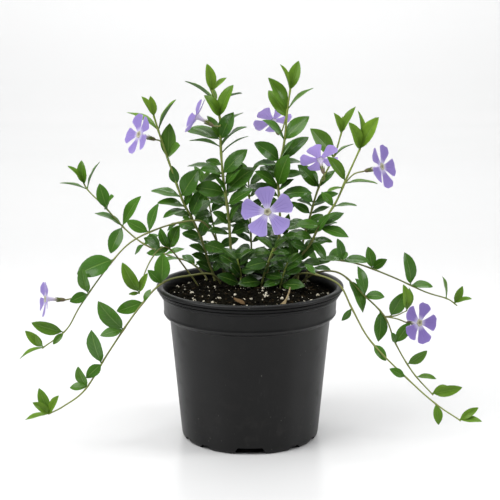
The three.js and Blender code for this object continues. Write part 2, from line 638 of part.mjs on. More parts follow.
// The soil fills the pot to its collar, lumpy on top, with a plain hole for each stem.
function soilGeometry() {
  const side = [
    [HEEL_RADIUS - WALL - 2 * GAP, BASE_PLATE + WALL + GAP], [NECK_RADIUS - WALL - 1.5 * GAP, NECK_HEIGHT],
    [COLLAR_RADIUS - WALL - 1.5 * GAP, COLLAR_FOOT + GAP],
  ];
  const edge = COLLAR_RADIUS - WALL - 1.5 * GAP;
  const rings = [...side.map(([r, z]) => ({ r, z })), ...[edge, 46, 37, 28, 19, 10].map((r) => ({ r }))];
  const points = [v3(0, 0, side[0][1])];
  for (const { r, z } of rings) {
    for (let k = 0; k < POT_SIDES; k += 1) {
      const a = 2 * Math.PI * k / POT_SIDES;
      const x = r * Math.cos(a);
      const y = r * Math.sin(a);
      points.push(v3(x, y, z === undefined ? soilHeight(x, y) : z));
    }
  }
  points.push(v3(0, 0, soilHeight(0, 0)));
  const faces = [];
  const last = 1 + (rings.length - 1) * POT_SIDES;
  for (let k = 0; k < POT_SIDES; k += 1) {
    const next = (k + 1) % POT_SIDES;
    faces.push([0, 1 + next, 1 + k], [last + k, last + next, points.length - 1]);
    for (let i = 1; i < last; i += POT_SIDES) {
      faces.push([i + k, i + next, i + next + POT_SIDES], [i + k, i + next + POT_SIDES, i + k + POT_SIDES]);
    }
  }
  const holes = STEMS.map((stem) => {
    const [x, y, z] = stem.route[0];
    const radius = stem.thick + 0.8;
    const hole = new THREE.CylinderGeometry(radius, radius, 30, 5);
    hole.rotateX(Math.PI / 2);
    hole.translate(x, y, z - GAP + 15);
    return hole;
  });
  return cut(solidGeometry(points, faces), holes);
}

function stemGeometries(shoot, leaves) {
  const points = [v3(...shoot.route[0]), ...routePoints(shoot.route, 2).slice(2)];
  const radii = points.map((_, i) => shoot.thick * (1 - 0.42 * i / (points.length - 1)));
  return [rodGeometry(points, radii, STEM_SIDES), ...leaves.map(leafGeometry)];
}

function stalkGeometry(bloom, stem) {
  const [root, bend, foot, end] = stalkRoute(bloom, stem);
  const corners = [root, bend, foot].map((p) => p.toArray());
  const stalk = routePoints(corners, 3);
  const calyx = foot.clone().lerp(end, 0.3);
  const radii = stalk.map(() => 0.5);
  return rodGeometry([...stalk, calyx, end], [...radii, 1.1, 1.35], 5);
}

// The whole plant: blooms and stems first, then leaves that keep clear of them and of each other.
function buildPlant() {
  const draw = drawsFrom(20210);
  const branches = STEMS.filter((stem) => stem.branch);
  const shoots = [
    ...STEMS.map((stem) => ({ owner: stem.name, ...stem })),
    ...branches.map((stem) => ({ owner: stem.name, ...stem.branch })),
  ];
  const blooms = BLOOMS.map(bloomThing);
  const rods = shoots.map((shoot) => ({ owner: shoot.owner, runs: runThings(routePoints(shoot.route, 8)) }));
  const stalks = BLOOMS.map((bloom) => {
    const stem = STEMS.find((s) => s.name === bloom.stem);
    const route = stalkRoute(bloom, stem).map((p) => p.toArray());
    return { owner: bloom.stem, runs: runThings(routePoints(route, 5).slice(5)) };
  });
  const tubes = BLOOMS.map((bloom) => thing([-9, -6, -3, 0].map((h) => bloomPoint(bloom, 0, 0, h)), []));
  const placed = [...blooms, ...tubes];
  const pieces = new Map(STEMS.map((stem) => [stem.name, []]));
  for (const shoot of shoots) {
    const others = [...rods, ...stalks].filter((rod) => rod.owner !== shoot.owner).flatMap((rod) => rod.runs);
    const inTheWay = [...others, ...placed];
    const before = inTheWay.length;
    const leaves = placeLeaves(shoot, inTheWay, draw);
    placed.push(...inTheWay.slice(before));
    pieces.get(shoot.owner).push(...stemGeometries(shoot, leaves));
  }
  for (const bloom of BLOOMS) {
    const stem = STEMS.find((s) => s.name === bloom.stem);
    pieces.get(bloom.stem).push(stalkGeometry(bloom, stem));
  }
  return pieces;
}

function finish(colour, roughness) {
  return new THREE.MeshStandardMaterial({ color: colour, roughness, metalness: 0, flatShading: true });
}

function named(name, geometry, material) {
  const mesh = new THREE.Mesh(geometry, material);
  mesh.name = name;
  return mesh;
}

const group = new THREE.Group();
group.add(named('pot', potGeometry(), finish(0x2e2f30, 0.45)));
group.add(named('soil', soilGeometry(), finish(0x241c16, 0.95)));
for (const [name, geometries] of buildPlant()) {
  group.add(named(name, joined(geometries), finish(0x3b6e2c, 0.45)));
}
for (const bloom of BLOOMS) {
  group.add(named(bloom.name, joined([corollaGeometry(bloom)]), finish(0x9c86d8, 0.6)));
}

export default group;
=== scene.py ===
# %% [markdown]
# # A lesser periwinkle in a nursery pot
#
# The real object is a small evergreen plant in a thin black pot. Five stems stand up, seven hang over
# the lip, and eight violet flowers face out from them. This lesson dresses the plain solids of that
# plant, which come in as a fixed frame. A piece that is finer than its solid takes the solid's place,
# so the first step is to load the frame and to note how large it is.

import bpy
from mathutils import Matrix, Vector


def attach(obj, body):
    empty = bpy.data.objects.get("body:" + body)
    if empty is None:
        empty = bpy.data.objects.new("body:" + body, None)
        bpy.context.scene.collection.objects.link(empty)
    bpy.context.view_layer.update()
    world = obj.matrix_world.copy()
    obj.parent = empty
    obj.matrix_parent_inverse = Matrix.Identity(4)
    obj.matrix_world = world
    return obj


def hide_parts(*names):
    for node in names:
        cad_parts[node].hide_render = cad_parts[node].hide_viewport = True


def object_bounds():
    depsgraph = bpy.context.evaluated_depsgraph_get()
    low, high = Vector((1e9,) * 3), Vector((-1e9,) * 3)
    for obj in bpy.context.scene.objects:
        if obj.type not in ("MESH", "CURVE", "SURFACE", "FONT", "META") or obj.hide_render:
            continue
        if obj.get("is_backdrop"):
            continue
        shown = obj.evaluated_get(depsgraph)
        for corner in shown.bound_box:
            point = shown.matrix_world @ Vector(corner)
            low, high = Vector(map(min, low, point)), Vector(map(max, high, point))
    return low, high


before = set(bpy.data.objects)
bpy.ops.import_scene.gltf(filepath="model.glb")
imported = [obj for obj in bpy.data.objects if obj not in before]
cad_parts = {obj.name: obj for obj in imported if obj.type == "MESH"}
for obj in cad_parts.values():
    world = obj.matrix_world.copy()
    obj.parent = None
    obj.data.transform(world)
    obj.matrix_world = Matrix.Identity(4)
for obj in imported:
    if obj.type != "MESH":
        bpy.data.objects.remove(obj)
frame_low, frame_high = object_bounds()
print("frame", [round(side, 3) for side in frame_high - frame_low], "m,", len(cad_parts), "solids")

# %% The rest of the toolbox
import math

import bpy
import bmesh
from mathutils import Matrix, Vector, noise
from mathutils.bvhtree import BVHTree

MM = 0.001
RAD = math.pi / 180
print("Blender", bpy.app.version_string, "with", MM, "m to a millimetre")

# %% [markdown]
# ## Node trees written as sums
#
# A material or a Geometry Nodes tree is a lot of small sums. Wired by hand, `1 - mask * 0.3` takes ten
# lines. The class below holds one socket and gives it the usual operators, so that a sum adds its own
# Math or Vector Math nodes. The bench adds any other node: its type, its settings, then its sockets.


# %% A socket that can be reckoned with
class Wire:
    def __init__(self, tree, socket):
        self.tree = tree
        self.socket = socket

    @property
    def is_vector(self):
        return self.socket.type in {"VECTOR", "RGBA"}

    def sum_node(self, operation, *parts):
        vector = any(isinstance(part, Wire) and part.is_vector for part in parts)
        kind = "ShaderNodeVectorMath" if vector else "ShaderNodeMath"
        node = self.tree.nodes.new(kind)
        node.operation = operation
        for slot, part in zip(node.inputs, parts):
            plug(self.tree, slot, part)
        output = "Value" if operation in {"DOT_PRODUCT", "LENGTH"} else 0
        return Wire(self.tree, node.outputs[output])

    def scaled(self, other):
        node = self.tree.nodes.new("ShaderNodeVectorMath")
        node.operation = "SCALE"
        vector, number = (self, other) if self.is_vector else (other, self)
        plug(self.tree, node.inputs[0], vector)
        plug(self.tree, node.inputs["Scale"], number)
        return Wire(self.tree, node.outputs[0])

    def __add__(self, other):
        return self.sum_node("ADD", self, other)

    def __radd__(self, other):
        return self.sum_node("ADD", other, self)

    def __sub__(self, other):
        return self.sum_node("SUBTRACT", self, other)

    def __rsub__(self, other):
        return self.sum_node("SUBTRACT", other, self)

    def __mul__(self, other):
        other_vector = isinstance(other, Wire) and other.is_vector
        if self.is_vector != other_vector:
            return self.scaled(other)
        return self.sum_node("MULTIPLY", self, other)

    __rmul__ = __mul__

    def __truediv__(self, other):
        return self.sum_node("DIVIDE", self, other)

    def __pow__(self, other):
        return self.sum_node("POWER", self, other)

    def sin(self):
        return self.sum_node("SINE", self)

    def cos(self):
        return self.sum_node("COSINE", self)

    def root(self):
        return self.sum_node("SQRT", self)

    def size(self):
        return self.sum_node("ABSOLUTE", self)

    def most(self, other):
        return self.sum_node("MAXIMUM", self, other)

    def least(self, other):
        return self.sum_node("MINIMUM", self, other)

    def above(self, other):
        return self.sum_node("GREATER_THAN", self, other)

    def cross(self, other):
        return self.sum_node("CROSS_PRODUCT", self, other)

    def step(self, start, end):
        """0 up to start, 1 from end on, and smooth between them."""
        node = self.tree.nodes.new("ShaderNodeMapRange")
        node.interpolation_type = "SMOOTHSTEP"
        for slot, part in zip(node.inputs, (self, start, end, 0.0, 1.0)):
            plug(self.tree, slot, part)
        return Wire(self.tree, node.outputs[0])


def plug(tree, slot, value):
    """Link a wire to a socket, or set a plain value there. None leaves the socket as it is."""
    if isinstance(value, Wire):
        tree.links.new(value.socket, slot)
    elif value is not None:
        slot.default_value = value


print("a wire knows", ", ".join(name for name in vars(Wire) if not name.startswith("_")))


# %% A bench that adds any other node
class Bench:
    def __init__(self, tree):
        self.tree = tree

    def add(self, kind, settings=None, sockets=None, out=0):
        """A new node, as the wire of one of its outputs, or as the node itself if out is None."""
        node = self.tree.nodes.new(kind)
        for name, value in (settings or {}).items():
            setattr(node, name, value)
        for name, value in (sockets or {}).items():
            plug(self.tree, node.inputs[name], value)
        return Wire(self.tree, node.outputs[out]) if out is not None else node

    def blend(self, share, first, second):
        """The first colour where share is 0, the second where it is 1."""
        pair = [colour if isinstance(colour, Wire) else (*colour, 1.0) for colour in (first, second)]
        settings = {"data_type": "RGBA"}
        return self.add("ShaderNodeMix", settings, {0: share, 6: pair[0], 7: pair[1]}, out=2)

    def layers(self, base, *coats):
        """A base colour under coats, each a share and a colour, laid on in this order."""
        for share, colour in coats:
            base = self.blend(share, base, colour)
        return base

    def axis(self, name, vector=None):
        """One axis of a vector. Without one, it is an axis of the place on the object, in metres."""
        if vector is None:
            vector = self.add("ShaderNodeTexCoord", out="Object")
        return self.add("ShaderNodeSeparateXYZ", sockets={"Vector": vector}, out=name)


def finish_named(name, **constants):
    """A new material, its bench and its shader, with what is the same all over set on the shader."""
    material = bpy.data.materials.new(name)
    material.use_nodes = True
    shader = material.node_tree.nodes["Principled BSDF"]
    for socket, value in constants.items():
        shader.inputs[socket.replace("_", " ")].default_value = value
    return material, Bench(material.node_tree), shader


def dress(bench, shader, colour, rough=None, relief=None, strength=0.5, deep_mm=0.2):
    """Plug the colour, the roughness and a bump of the relief into the shader."""
    plug(bench.tree, shader.inputs["Base Color"], colour)
    plug(bench.tree, shader.inputs["Roughness"], rough)
    if relief is not None:
        sockets = {"Height": relief, "Strength": strength, "Distance": deep_mm * MM}
        plug(bench.tree, shader.inputs["Normal"], bench.add("ShaderNodeBump", sockets=sockets))


print("bench ready")

# %% [markdown]
# ## Where everything grows
#
# All sizes in the plan are in millimetres, with the origin on the floor under the pot and the front of
# the plant at -Y. A stem is a route of points, the first two in the soil. Each of its leaves is a place
# along the route (2.5 is half way from point 2 to point 3), a length, a lean, how far it comes forward,
# and a roll. A lean is in degrees from upright, to the right. Leaves at one place are a pair or a
# whorl. These are the numbers of the plain solids, so that the fine leaves grow in the same places.


# %% The five upright stems
def tell(stems, kind):
    """Print how many leaves some stems and their side branches are planned to have."""
    shoots = list(stems.values())
    shoots += [stem["branch"] for stem in shoots if "branch" in stem]
    print(len(stems), kind, "with a plan for", sum(len(shoot["leaves"]) for shoot in shoots), "leaves")


UPRIGHT_STEMS = {
    "stem_left": {
        "thick": 1,
        "route": [(-23, 22, 86), (-23, 22, 97), (-27, 21, 109), (-32, 20, 126), (-38, 18, 140),
            (-43, 16, 150), (-50, 14, 171), (-57, 12, 193), (-61, 10, 207)],
        "leaves": [(3, 14, -82, -25, 0), (3, 15, 35, 25, 0), (4.03, 14, -80, -14, 10),
            (4.03, 20, 25, 4, 10), (4.75, 19, -79, 14, 0), (4.75, 13, 46, -20, 0), (5.2, 20, -79, -5, 34),
            (5.2, 23, 33, 12, 18), (5.58, 13, -6, 10, -20), (6.33, 23, 3, -8, 15), (6.33, 23, 38, 52, 25),
            (7.28, 25, -64, -22, 42), (7.28, 23, 31, 5, -36), (7.95, 15, -31, 0, 12),
            (7.95, 14, -8, 14, 0)],
    },
    "stem_middle_left": {
        "thick": 1.1,
        "route": [(-10, 12, 86), (-10, 12, 98), (-12, 12, 114), (-14, 12, 143), (-17, 13, 165),
            (-18.6, 14, 184.4), (-19.3, 15, 205.4), (-24.8, 16, 223.1)],
        "leaves": [(2.82, 15, -100, -20, 0), (2.82, 16, 30, 20, 0), (3.25, 21, 64, 16, 10),
            (3.25, 15, -70, -16, 5), (3.62, 25, 51, -12, 0), (3.62, 20, -72, 10, -18),
            (4.2, 25, -81, -10, 32), (4.2, 23, 44, 8, 20), (4.2, 18, -74, 34, -16),
            (4.88, 21, 58, -4, -36), (5.1, 21, -78, 10, 38), (5.1, 24, 51, 22, -36), (5.3, 25, -61, 4, 8),
            (5.3, 20, 49, 12, -2), (5.3, 18, -30, -14, 20), (5.65, 20, 59, -8, -38),
            (5.65, 16, -48, -20, 0), (6, 20, -41, 12, -22), (6, 23, 23, 10, 14), (6.47, 25, -56, -12, 42),
            (6.47, 22, 49, -14, -42), (6.47, 13, 18, 28, 20), (7, 18, -1, 10, 18), (7, 13, 9, -30, 0)],
    },
    "stem_middle_right": {
        "thick": 1,
        "route": [(11, 12, 86), (11, 12, 97), (12, 13, 110), (19, 16, 128), (19, 18, 150), (18, 20, 168),
            (22, 22, 188), (24, 24, 209), (26, 25, 223)],
        "leaves": [(2.7, 15, -60, 20, 0), (2.7, 14, 100, -20, 0), (4.17, 22, 82, 10, -8),
            (4.17, 22, -72, -10, 0), (4.55, 25, 17, 22, 18), (4.55, 20, -54, 14, -10),
            (4.92, 16, -36, -22, 0), (5.4, 25, 51, -16, -12), (5.4, 21, -53, 4, -14),
            (5.4, 19, 31, 20, -30), (6.08, 20, -47, 10, 0), (6.08, 22, 46, 0, 6), (6.72, 22, -34, -26, 0),
            (7, 24, -31, 0, 8), (7, 22, 50, 4, -38), (7.85, 19, -21, 12, 12), (7.85, 20, 16, -8, -8),
            (7.85, 15, -4, -40, 50)],
    },
    "stem_right_back": {
        "thick": 0.9,
        "route": [(31, 22, 86), (31, 22, 97), (35, 26, 123), (39, 29, 137), (45, 32, 157), (55, 36, 177),
            (60, 38, 193)],
        "leaves": [(2.4, 18, -112, -25, 0), (3.4, 12, -65, 14, 0), (3.4, 13, 69, -14, 0),
            (4, 21, -42, 8, -20), (4, 16, 45, -10, -10), (4, 14, -15, 30, 0), (4.97, 25, -39, 6, -6),
            (4.97, 16, 58, -8, -38), (5.92, 15, -20, 8, 10), (5.92, 20, 28, -4, -8),
            (5.92, 13, 7, -36, 30)],
    },
    "stem_right_front": {
        "thick": 1,
        "route": [(22, 14, 86), (22, 14, 98), (30, 11, 112), (38, 8, 123), (43, 4, 134), (48, 2, 142),
            (55, 0, 154), (61, -2, 169), (69, -4, 188)],
        "leaves": [(3.3, 15, 142, 15, 0), (4.25, 20, 106, 16, -10), (4.25, 13, 80, -24, -20),
            (5.7, 15, 86, 8, -8), (5.7, 12, -40, -14, 0), (6.62, 11, -103, 20, 10),
            (6.78, 21, 90, 4, -34), (6.88, 20, -37, 6, -10), (8, 22, -22, 24, -24), (8, 24, 29, 4, -4),
            (8, 25, -2, -14, 50), (8, 25, 30, -24, -42)],
    },
}
tell(UPRIGHT_STEMS, "upright stems")

# %% The seven stems that hang over the lip
TRAILING_STEMS = {
    "trailer_left_back": {
        "thick": 0.85,
        "route": [(-29, 30, 86), (-29, 30, 97), (-40, 36, 106), (-53, 41, 109), (-71, 47, 116),
            (-84, 53, 125), (-98, 59, 139), (-110, 64, 150), (-115, 67, 159)],
        "leaves": [(4, 11, -140, -20, 0), (4, 13, 55, 20, 0), (5.15, 21, -66, -4, 36),
            (5.15, 25, 32, 6, 8), (5.15, 20, -156, 14, -8), (5.9, 18, -16, -6, 0), (5.9, 20, 29, 50, 10),
            (7.05, 19, -77, 4, 36), (7.05, 21, 26, 0, -34), (7.33, 18, -38, 14, 22),
            (7.33, 17, -6, -4, -20)],
    },
    "trailer_left_high": {
        "thick": 0.85,
        "route": [(-17, 27, 86), (-17, 27, 98), (-21, 21, 121), (-28, 12, 136), (-37, 6, 140),
            (-56, -1, 137), (-76, -6, 128), (-91, -11, 112), (-107, -17, 90), (-116, -21, 75),
            (-131, -25, 64)],
        "leaves": [(4.5, 10, -130, -20, 0), (5.4, 16, -63, -6, 0), (5.4, 20, 19, 4, 0),
            (6.67, 25, -111, 8, 10), (7.67, 18, -10, 10, -10), (7.67, 13, -109, 24, -10),
            (9.12, 21, -71, 6, -14), (9.12, 10, -137, 14, 0), (9.97, 18, -118, -6, 28),
            (9.97, 16, -44, 8, 20), (9.97, 13, -16, 34, -10)],
    },
    "trailer_left_short": {
        "thick": 0.75,
        "route": [(-34, 14, 86), (-34, 14, 95), (-42.5, 12, 108.2), (-51.3, 9, 120.4), (-57.4, 4, 122.2),
            (-62.9, -1, 116.4), (-67.3, -5, 107.5), (-70.7, -9, 95.3)],
        "leaves": [(3.08, 18, 23, 12, 8), (3.08, 15, -15, 6, -14), (3.08, 11, -98, 26, 0),
            (4.03, 12, -35, -4, 0), (4.03, 13, -53, 14, 10), (7, 15, 23, 10, 8), (7, 23, -27, 4, -18),
            (7, 7, -91, 24, 0)],
    },
    "trailer_left_front": {
        "thick": 0.9,
        "route": [(-19, 14, 86), (-19, 14, 96), (-25, 9, 104), (-37, 2, 105), (-55, -14, 104),
            (-70, -27, 90), (-87, -42, 67), (-101, -53, 46), (-114, -59, 37), (-123, -62, 33)],
        "leaves": [(4.05, 19, 3, -8, 14), (4.05, 13, -42, 14, 0), (4.78, 18, -108, 6, -8),
            (4.78, 9, 30, -10, 0), (5.5, 25, -38, 10, -22), (5.5, 15, -101, 18, 0),
            (6.3, 23, -14, 6, -10), (6.3, 13, -130, 24, -10), (6.92, 15, -20, 10, -14),
            (6.92, 11, -95, -8, 30), (9, 16, 28, 20, 10), (9, 17, -21, -6, 24), (9, 15, -104, 4, 22),
            (9, 14, -45, 24, 10)],
    },
    "trailer_right_back": {
        "thick": 0.85,
        "route": [(37, 30, 86), (37, 30, 96), (40, 32, 105), (50, 35, 108), (70, 38, 105), (95, 41, 95),
            (118, 43, 84), (133, 44, 79), (140, 45, 74)],
        "leaves": [(3.62, 16, -14, 8, 0), (3.62, 18, 90, 10, -16), (4.47, 15, -11, -4, 0),
            (4.47, 14, 50, 30, 0), (5.53, 24, -12, 6, 14), (5.53, 15, 93, 6, -24), (6.95, 16, -12, 6, 26),
            (7.67, 13, 24, 0, -20), (7.67, 13, 68, 24, -20)],
    },
    "trailer_right_middle": {
        "thick": 0.85,
        "route": [(33, 15, 86), (33, 15, 96), (41, 13, 103), (50, 10, 106), (60, 7, 104), (73, 4, 92),
            (87, 0, 78), (94, -4, 61), (105, -8, 43), (118, -12, 29)],
        "leaves": [(4.28, 24, 156, 12, -8), (5.08, 13, 90, 14, -10), (5.08, 20, -14, -10, 30),
            (5.08, 15, -29, 10, 10), (5.75, 20, -176, 16, 0), (6.97, 16, 37, -14, 0),
            (6.97, 9, -21, 20, 0), (7.7, 16, 51, 10, 10), (8.18, 13, 95, 4, -26), (9, 20, 74, 10, 10),
            (9, 12, 68, -24, 0)],
        "branch": {
            "thick": 0.65,
            "route": [(87, 0, 78), (94, -1, 79), (101, -3, 83)],
            "leaves": [(0.5, 18, 27, 4, 6), (2, 19, 31, 4, -4), (2, 15, -11, -14, 30)],
        },
    },
    "trailer_right_front": {
        "thick": 0.9,
        "route": [(25, 4, 86), (25, 4, 97), (31, 0, 106), (42, -9, 108), (56, -20, 104), (64, -28, 90),
            (75, -37, 72), (97, -47, 51), (114, -54, 37), (129, -60, 28)],
        "leaves": [(3, 10, -50, -20, 0), (4.95, 10, -141, 8, -20), (6.08, 13, 142, 8, 0),
            (6.95, 12, -60, 12, -14), (8, 13, 172, 16, 0), (9, 14, 54, 4, -24), (9, 14, 86, 24, -24)],
    },
}
tell(TRAILING_STEMS, "trailing stems")

# %% The short shoots round the base
SHORT_SHOOTS = {
    "shoot_front_middle": {
        "thick": 0.8,
        "route": [(7, 1, 86), (7, 1, 96), (9, -1, 106), (12, -3, 116), (15, -3, 124)],
        "leaves": [(2, 13, -70, -25, 0), (2, 14, 99, 25, 0), (2.9, 17, -124, -30, 0),
            (2.9, 14, 70, 30, 0), (3.6, 15, -100, -25, 0), (3.6, 13, 108, 25, 0), (4, 14, -60, -20, 0),
            (4, 14, 50, 20, 0)],
    },
    "shoot_front_left": {
        "thick": 0.8,
        "route": [(-6, 2, 86), (-6, 2, 96), (-6, 1, 106), (-8, 0, 116)],
        "leaves": [(2.2, 13, -78, -25, 0), (2.2, 13, 78, 25, 0), (3, 14, -58, -30, 0), (3, 15, 50, 30, 0)],
    },
    "shoot_front_right": {
        "thick": 0.75,
        "route": [(19, -2, 86), (19, -2, 96), (21, -4, 106), (24, -5, 115)],
        "leaves": [(2.4, 12, -60, -25, 0), (2.4, 12, 60, 25, 0), (3, 12, -40, -30, 0), (3, 12, 40, 30, 0)],
    },
    "shoot_back_middle": {
        "thick": 0.8,
        "route": [(1, 30, 86), (1, 30, 97), (1, 32, 114), (0, 34, 138), (-1, 35, 162)],
        "leaves": [(2.5, 16, -70, -20, 0), (3, 17, -62, 20, 0), (3, 18, 74, -20, 0),
            (3.5, 17, -50, -20, 0), (3.5, 17, 55, 20, 0), (4, 16, -30, -20, 0), (4, 17, 32, 20, 0)],
    },
    "shoot_back_left": {
        "thick": 0.75,
        "route": [(-16, 34, 86), (-16, 34, 97), (-20, 37, 112), (-25, 39, 134), (-29, 40, 156)],
        "leaves": [(2.2, 15, -75, 20, 0), (2.2, 15, 70, -20, 0), (2.9, 16, -65, -20, 0),
            (2.9, 15, 60, 20, 0), (3.5, 17, -48, -20, 0), (3.5, 14, 50, 20, 0), (4, 18, -30, -25, 0),
            (4, 16, 12, 25, 0)],
    },
    "shoot_back_right": {
        "thick": 0.75,
        "route": [(19, 33, 86), (19, 33, 97), (20, 36, 110), (24, 39, 124)],
        "leaves": [(2, 13, -80, -20, 0), (3, 15, -40, -25, 0), (3, 15, 40, 25, 0)],
    },
}

STEMS = {**UPRIGHT_STEMS, **TRAILING_STEMS, **SHORT_SHOOTS}
tell(SHORT_SHOOTS, "short shoots")
tell(STEMS, "stems in all")

# %% [markdown]
# A bloom is a place on its stem, the radius of its petals, the turn of its first petal, the middle of
# its throat and the way it looks.

# %% The eight blooms
BLOOMS = {
    "bloom_front": {
        "stem": "stem_middle_right", "at": 3.3, "radius": 16.5, "turn": 98,
        "centre": (11, -12, 149), "faces": (0, -0.98, 0.18),
    },
    "bloom_left_top": {
        "stem": "stem_left", "at": 6.8, "radius": 13.5, "turn": 120,
        "centre": (-70, 2, 196), "faces": (-0.78, -0.52, 0.33),
    },
    "bloom_middle_left_top": {
        "stem": "stem_middle_left", "at": 5.75, "radius": 12.5, "turn": 60,
        "centre": (-34, 6, 207), "faces": (-0.85, 0.2, 0.45),
    },
    "bloom_middle_right_top": {
        "stem": "stem_middle_right", "at": 6.9, "radius": 13, "turn": 40,
        "centre": (15, 34, 201), "faces": (-0.25, 0.72, 0.62),
    },
    "bloom_right_back": {
        "stem": "stem_right_back", "at": 4.2, "radius": 13, "turn": 60,
        "centre": (45, 18, 178), "faces": (-0.15, 0.75, 0.62),
    },
    "bloom_right_top": {
        "stem": "stem_right_front", "at": 6.72, "radius": 14, "turn": 58,
        "centre": (82, -14, 178), "faces": (0.8, -0.52, 0.3),
    },
    "bloom_left_low": {
        "stem": "trailer_left_high", "at": 7.8, "radius": 11.5, "turn": 70,
        "centre": (-128, -25, 96), "faces": (-0.93, -0.33, 0.12),
    },
    "bloom_right_low": {
        "stem": "trailer_right_middle", "at": 6, "radius": 13.5, "turn": 64,
        "centre": (109, -4, 75), "faces": (0.55, -0.8, 0.2),
    },
}
print(len(BLOOMS), "blooms")

# %% [markdown]
# ## Smooth routes and repeatable chance
#
# A stem bends smoothly through its points, so its line is a spline. Chance decides the small things,
# such as how wide a leaf is. It comes from a short seeded row of draws, and so the plant is the same
# each time.

# %% Draws and routes
DRAW_STEP = 16807
DRAW_LIMIT = 2147483647


def draws_from(seed):
    """A row of chance numbers from 0 to 1 that is the same each time for one seed."""
    state = seed

    def draw():
        nonlocal state
        state = state * DRAW_STEP % DRAW_LIMIT
        return state / DRAW_LIMIT

    return draw


def along(route, place):
    """The point at a place of the route, on a smooth curve through all its points."""
    last = len(route) - 1
    start = max(0, min(last - 1, math.floor(place)))
    t = place - start
    a = Vector(route[start])
    b = Vector(route[start + 1])
    before = Vector(route[start - 1]) if start > 0 else 2 * a - b
    after = Vector(route[start + 2]) if start + 2 <= last else 2 * b - a
    slope_a = (b - before) / 2
    slope_b = (after - a) / 2
    middle = a * (2 * t**3 - 3 * t**2 + 1) + b * (3 * t**2 - 2 * t**3)
    return middle + slope_a * (t**3 - 2 * t**2 + t) + slope_b * (t**3 - t**2)


def route_points(route, steps):
    """Points all along the route, so many from each of its points to the next."""
    return [along(route, i / steps) for i in range((len(route) - 1) * steps + 1)]


print("half way up stem_left:", [round(part) for part in along(STEMS["stem_left"]["route"], 4)], "mm")

# %% [markdown]
# A flower faces away from its stalk, so it gets axes of its own: right, up, and the way it faces. The
# thin stalk leaves the stem at a joint, bends up, and runs into the back of the flower. Its end is the
# cup that holds the tube. A route of four points is enough for it.

# %% A flower's own axes and its stalk
TUBE_LENGTH = 9
CALYX_LENGTH = 3.6
CUP_GAP = 0.35
BEND = 0.3
BEND_RISE = 0.08


def flower_axes(bloom):
    """Right and up as seen when the flower is looked at, and the way it faces."""
    faces = Vector(bloom["faces"]).normalized()
    right = Vector((0, 0, 1)).cross(faces).normalized()
    return right, faces.cross(right), faces


def bloom_point(bloom, radius, angle, height):
    """A point of a flower, from its radius and angle round the throat and its height over it."""
    right, up, faces = flower_axes(bloom)
    flat = right * (radius * math.cos(angle * RAD)) + up * (radius * math.sin(angle * RAD))
    return Vector(bloom["centre"]) + flat + faces * height


def stalk_route(bloom):
    """The four points of a flower stalk: on the stem, its bend, the foot and the mouth of the calyx."""
    faces = Vector(bloom["faces"]).normalized()
    end = Vector(bloom["centre"]) - faces * (TUBE_LENGTH + CUP_GAP)
    foot = end - faces * CALYX_LENGTH
    root = along(STEMS[bloom["stem"]]["route"], bloom["at"])
    reach = (foot - root).length
    bend = (foot - faces * BEND * reach).lerp(root, BEND)
    bend.z += BEND_RISE * reach
    return [root, bend, foot, end]


front_stalk = stalk_route(BLOOMS["bloom_front"])
stalk_length = sum((b - a).length for a, b in zip(front_stalk, front_stalk[1:]))
print("the front flower's stalk is", round(stalk_length), "mm long")

# %% [markdown]
# ## How one leaf lies
#
# A periwinkle leaf is a pointed oval on a very short stalk. It bends back along its length and folds a
# little along its midrib. Five numbers say all of that: length, width, arch, fold and roll. A leaf
# turns its upper side to the light, so the roll starts from the light's direction.

# %% How wide a blade is along its length
STALK_HALF = 0.45
BLADE_START = 0.07
NARROWS = (0.75, 0.9)


def half_width(s):
    """Half the width as a part of its greatest, from the root (0) to the tip (1)."""
    t = min(1.0, max(0.0, (s - BLADE_START) / (1 - BLADE_START)))
    root, tip = NARROWS
    peak = (root / (root + tip)) ** root * (tip / (root + tip)) ** tip
    return t**root * (1 - t) ** tip / peak


widest = max(range(101), key=lambda percent: half_width(percent / 100))
print("a blade is widest at", widest, "% of its length")

# %% One leaf's frame, and a point on its blade
LIGHT = Vector((0, -0.7, 0.71))
# Each of these ranges is the least, and what chance may add.
WIDTHS = (0.46, 0.12)
ARCHES = (18, 26)
FOLDS = (8, 10)
ROLL_CHANCE = 36
TO_LIGHT = 0.75
OFF_STEM = 0.3
LEAF_STALK = 0.3


def chosen(least_and_more, draw):
    """A number from a range, as chance has it."""
    least, more = least_and_more
    return least + more * draw()


def make_leaf(root, stem_way, length, lean, forward, roll, draw):
    """Where a leaf grows, the way it points and turns its upper side, and its five numbers."""
    away = math.cos(forward * RAD)
    way = Vector((math.sin(lean * RAD) * away, -math.sin(forward * RAD), math.cos(lean * RAD) * away))
    upper = LIGHT * TO_LIGHT + stem_way * OFF_STEM
    upper = (upper - way * upper.dot(way)).normalized()
    upper = Matrix.Rotation((roll + ROLL_CHANCE * (draw() - 0.5)) * RAD, 3, way) @ upper
    return {
        "root": root + way * LEAF_STALK, "way": way, "upper": upper, "length": length,
        "width": length * chosen(WIDTHS, draw),
        "arch": chosen(ARCHES, draw) * RAD,
        "fold": chosen(FOLDS, draw) * RAD,
    }


def leaf_point(leaf, s, v):
    """A point of the blade: s runs from the root (0) to the tip (1), v from edge to edge (-1 to 1)."""
    half = leaf["arch"] / 2
    turn = half - leaf["arch"] * s
    ahead = (math.sin(half) - math.sin(turn)) / leaf["arch"] * leaf["length"]
    rise = (math.cos(turn) - math.cos(half)) / leaf["arch"] * leaf["length"]
    side = leaf["way"].cross(leaf["upper"])
    normal = leaf["upper"] * math.cos(turn) - leaf["way"] * math.sin(turn)
    reach = v * max(STALK_HALF, half_width(s) * leaf["width"] / 2)
    across = side * (reach * math.cos(leaf["fold"])) + normal * (abs(reach) * math.sin(leaf["fold"]))
    return leaf["root"] + leaf["way"] * ahead + leaf["upper"] * rise + across


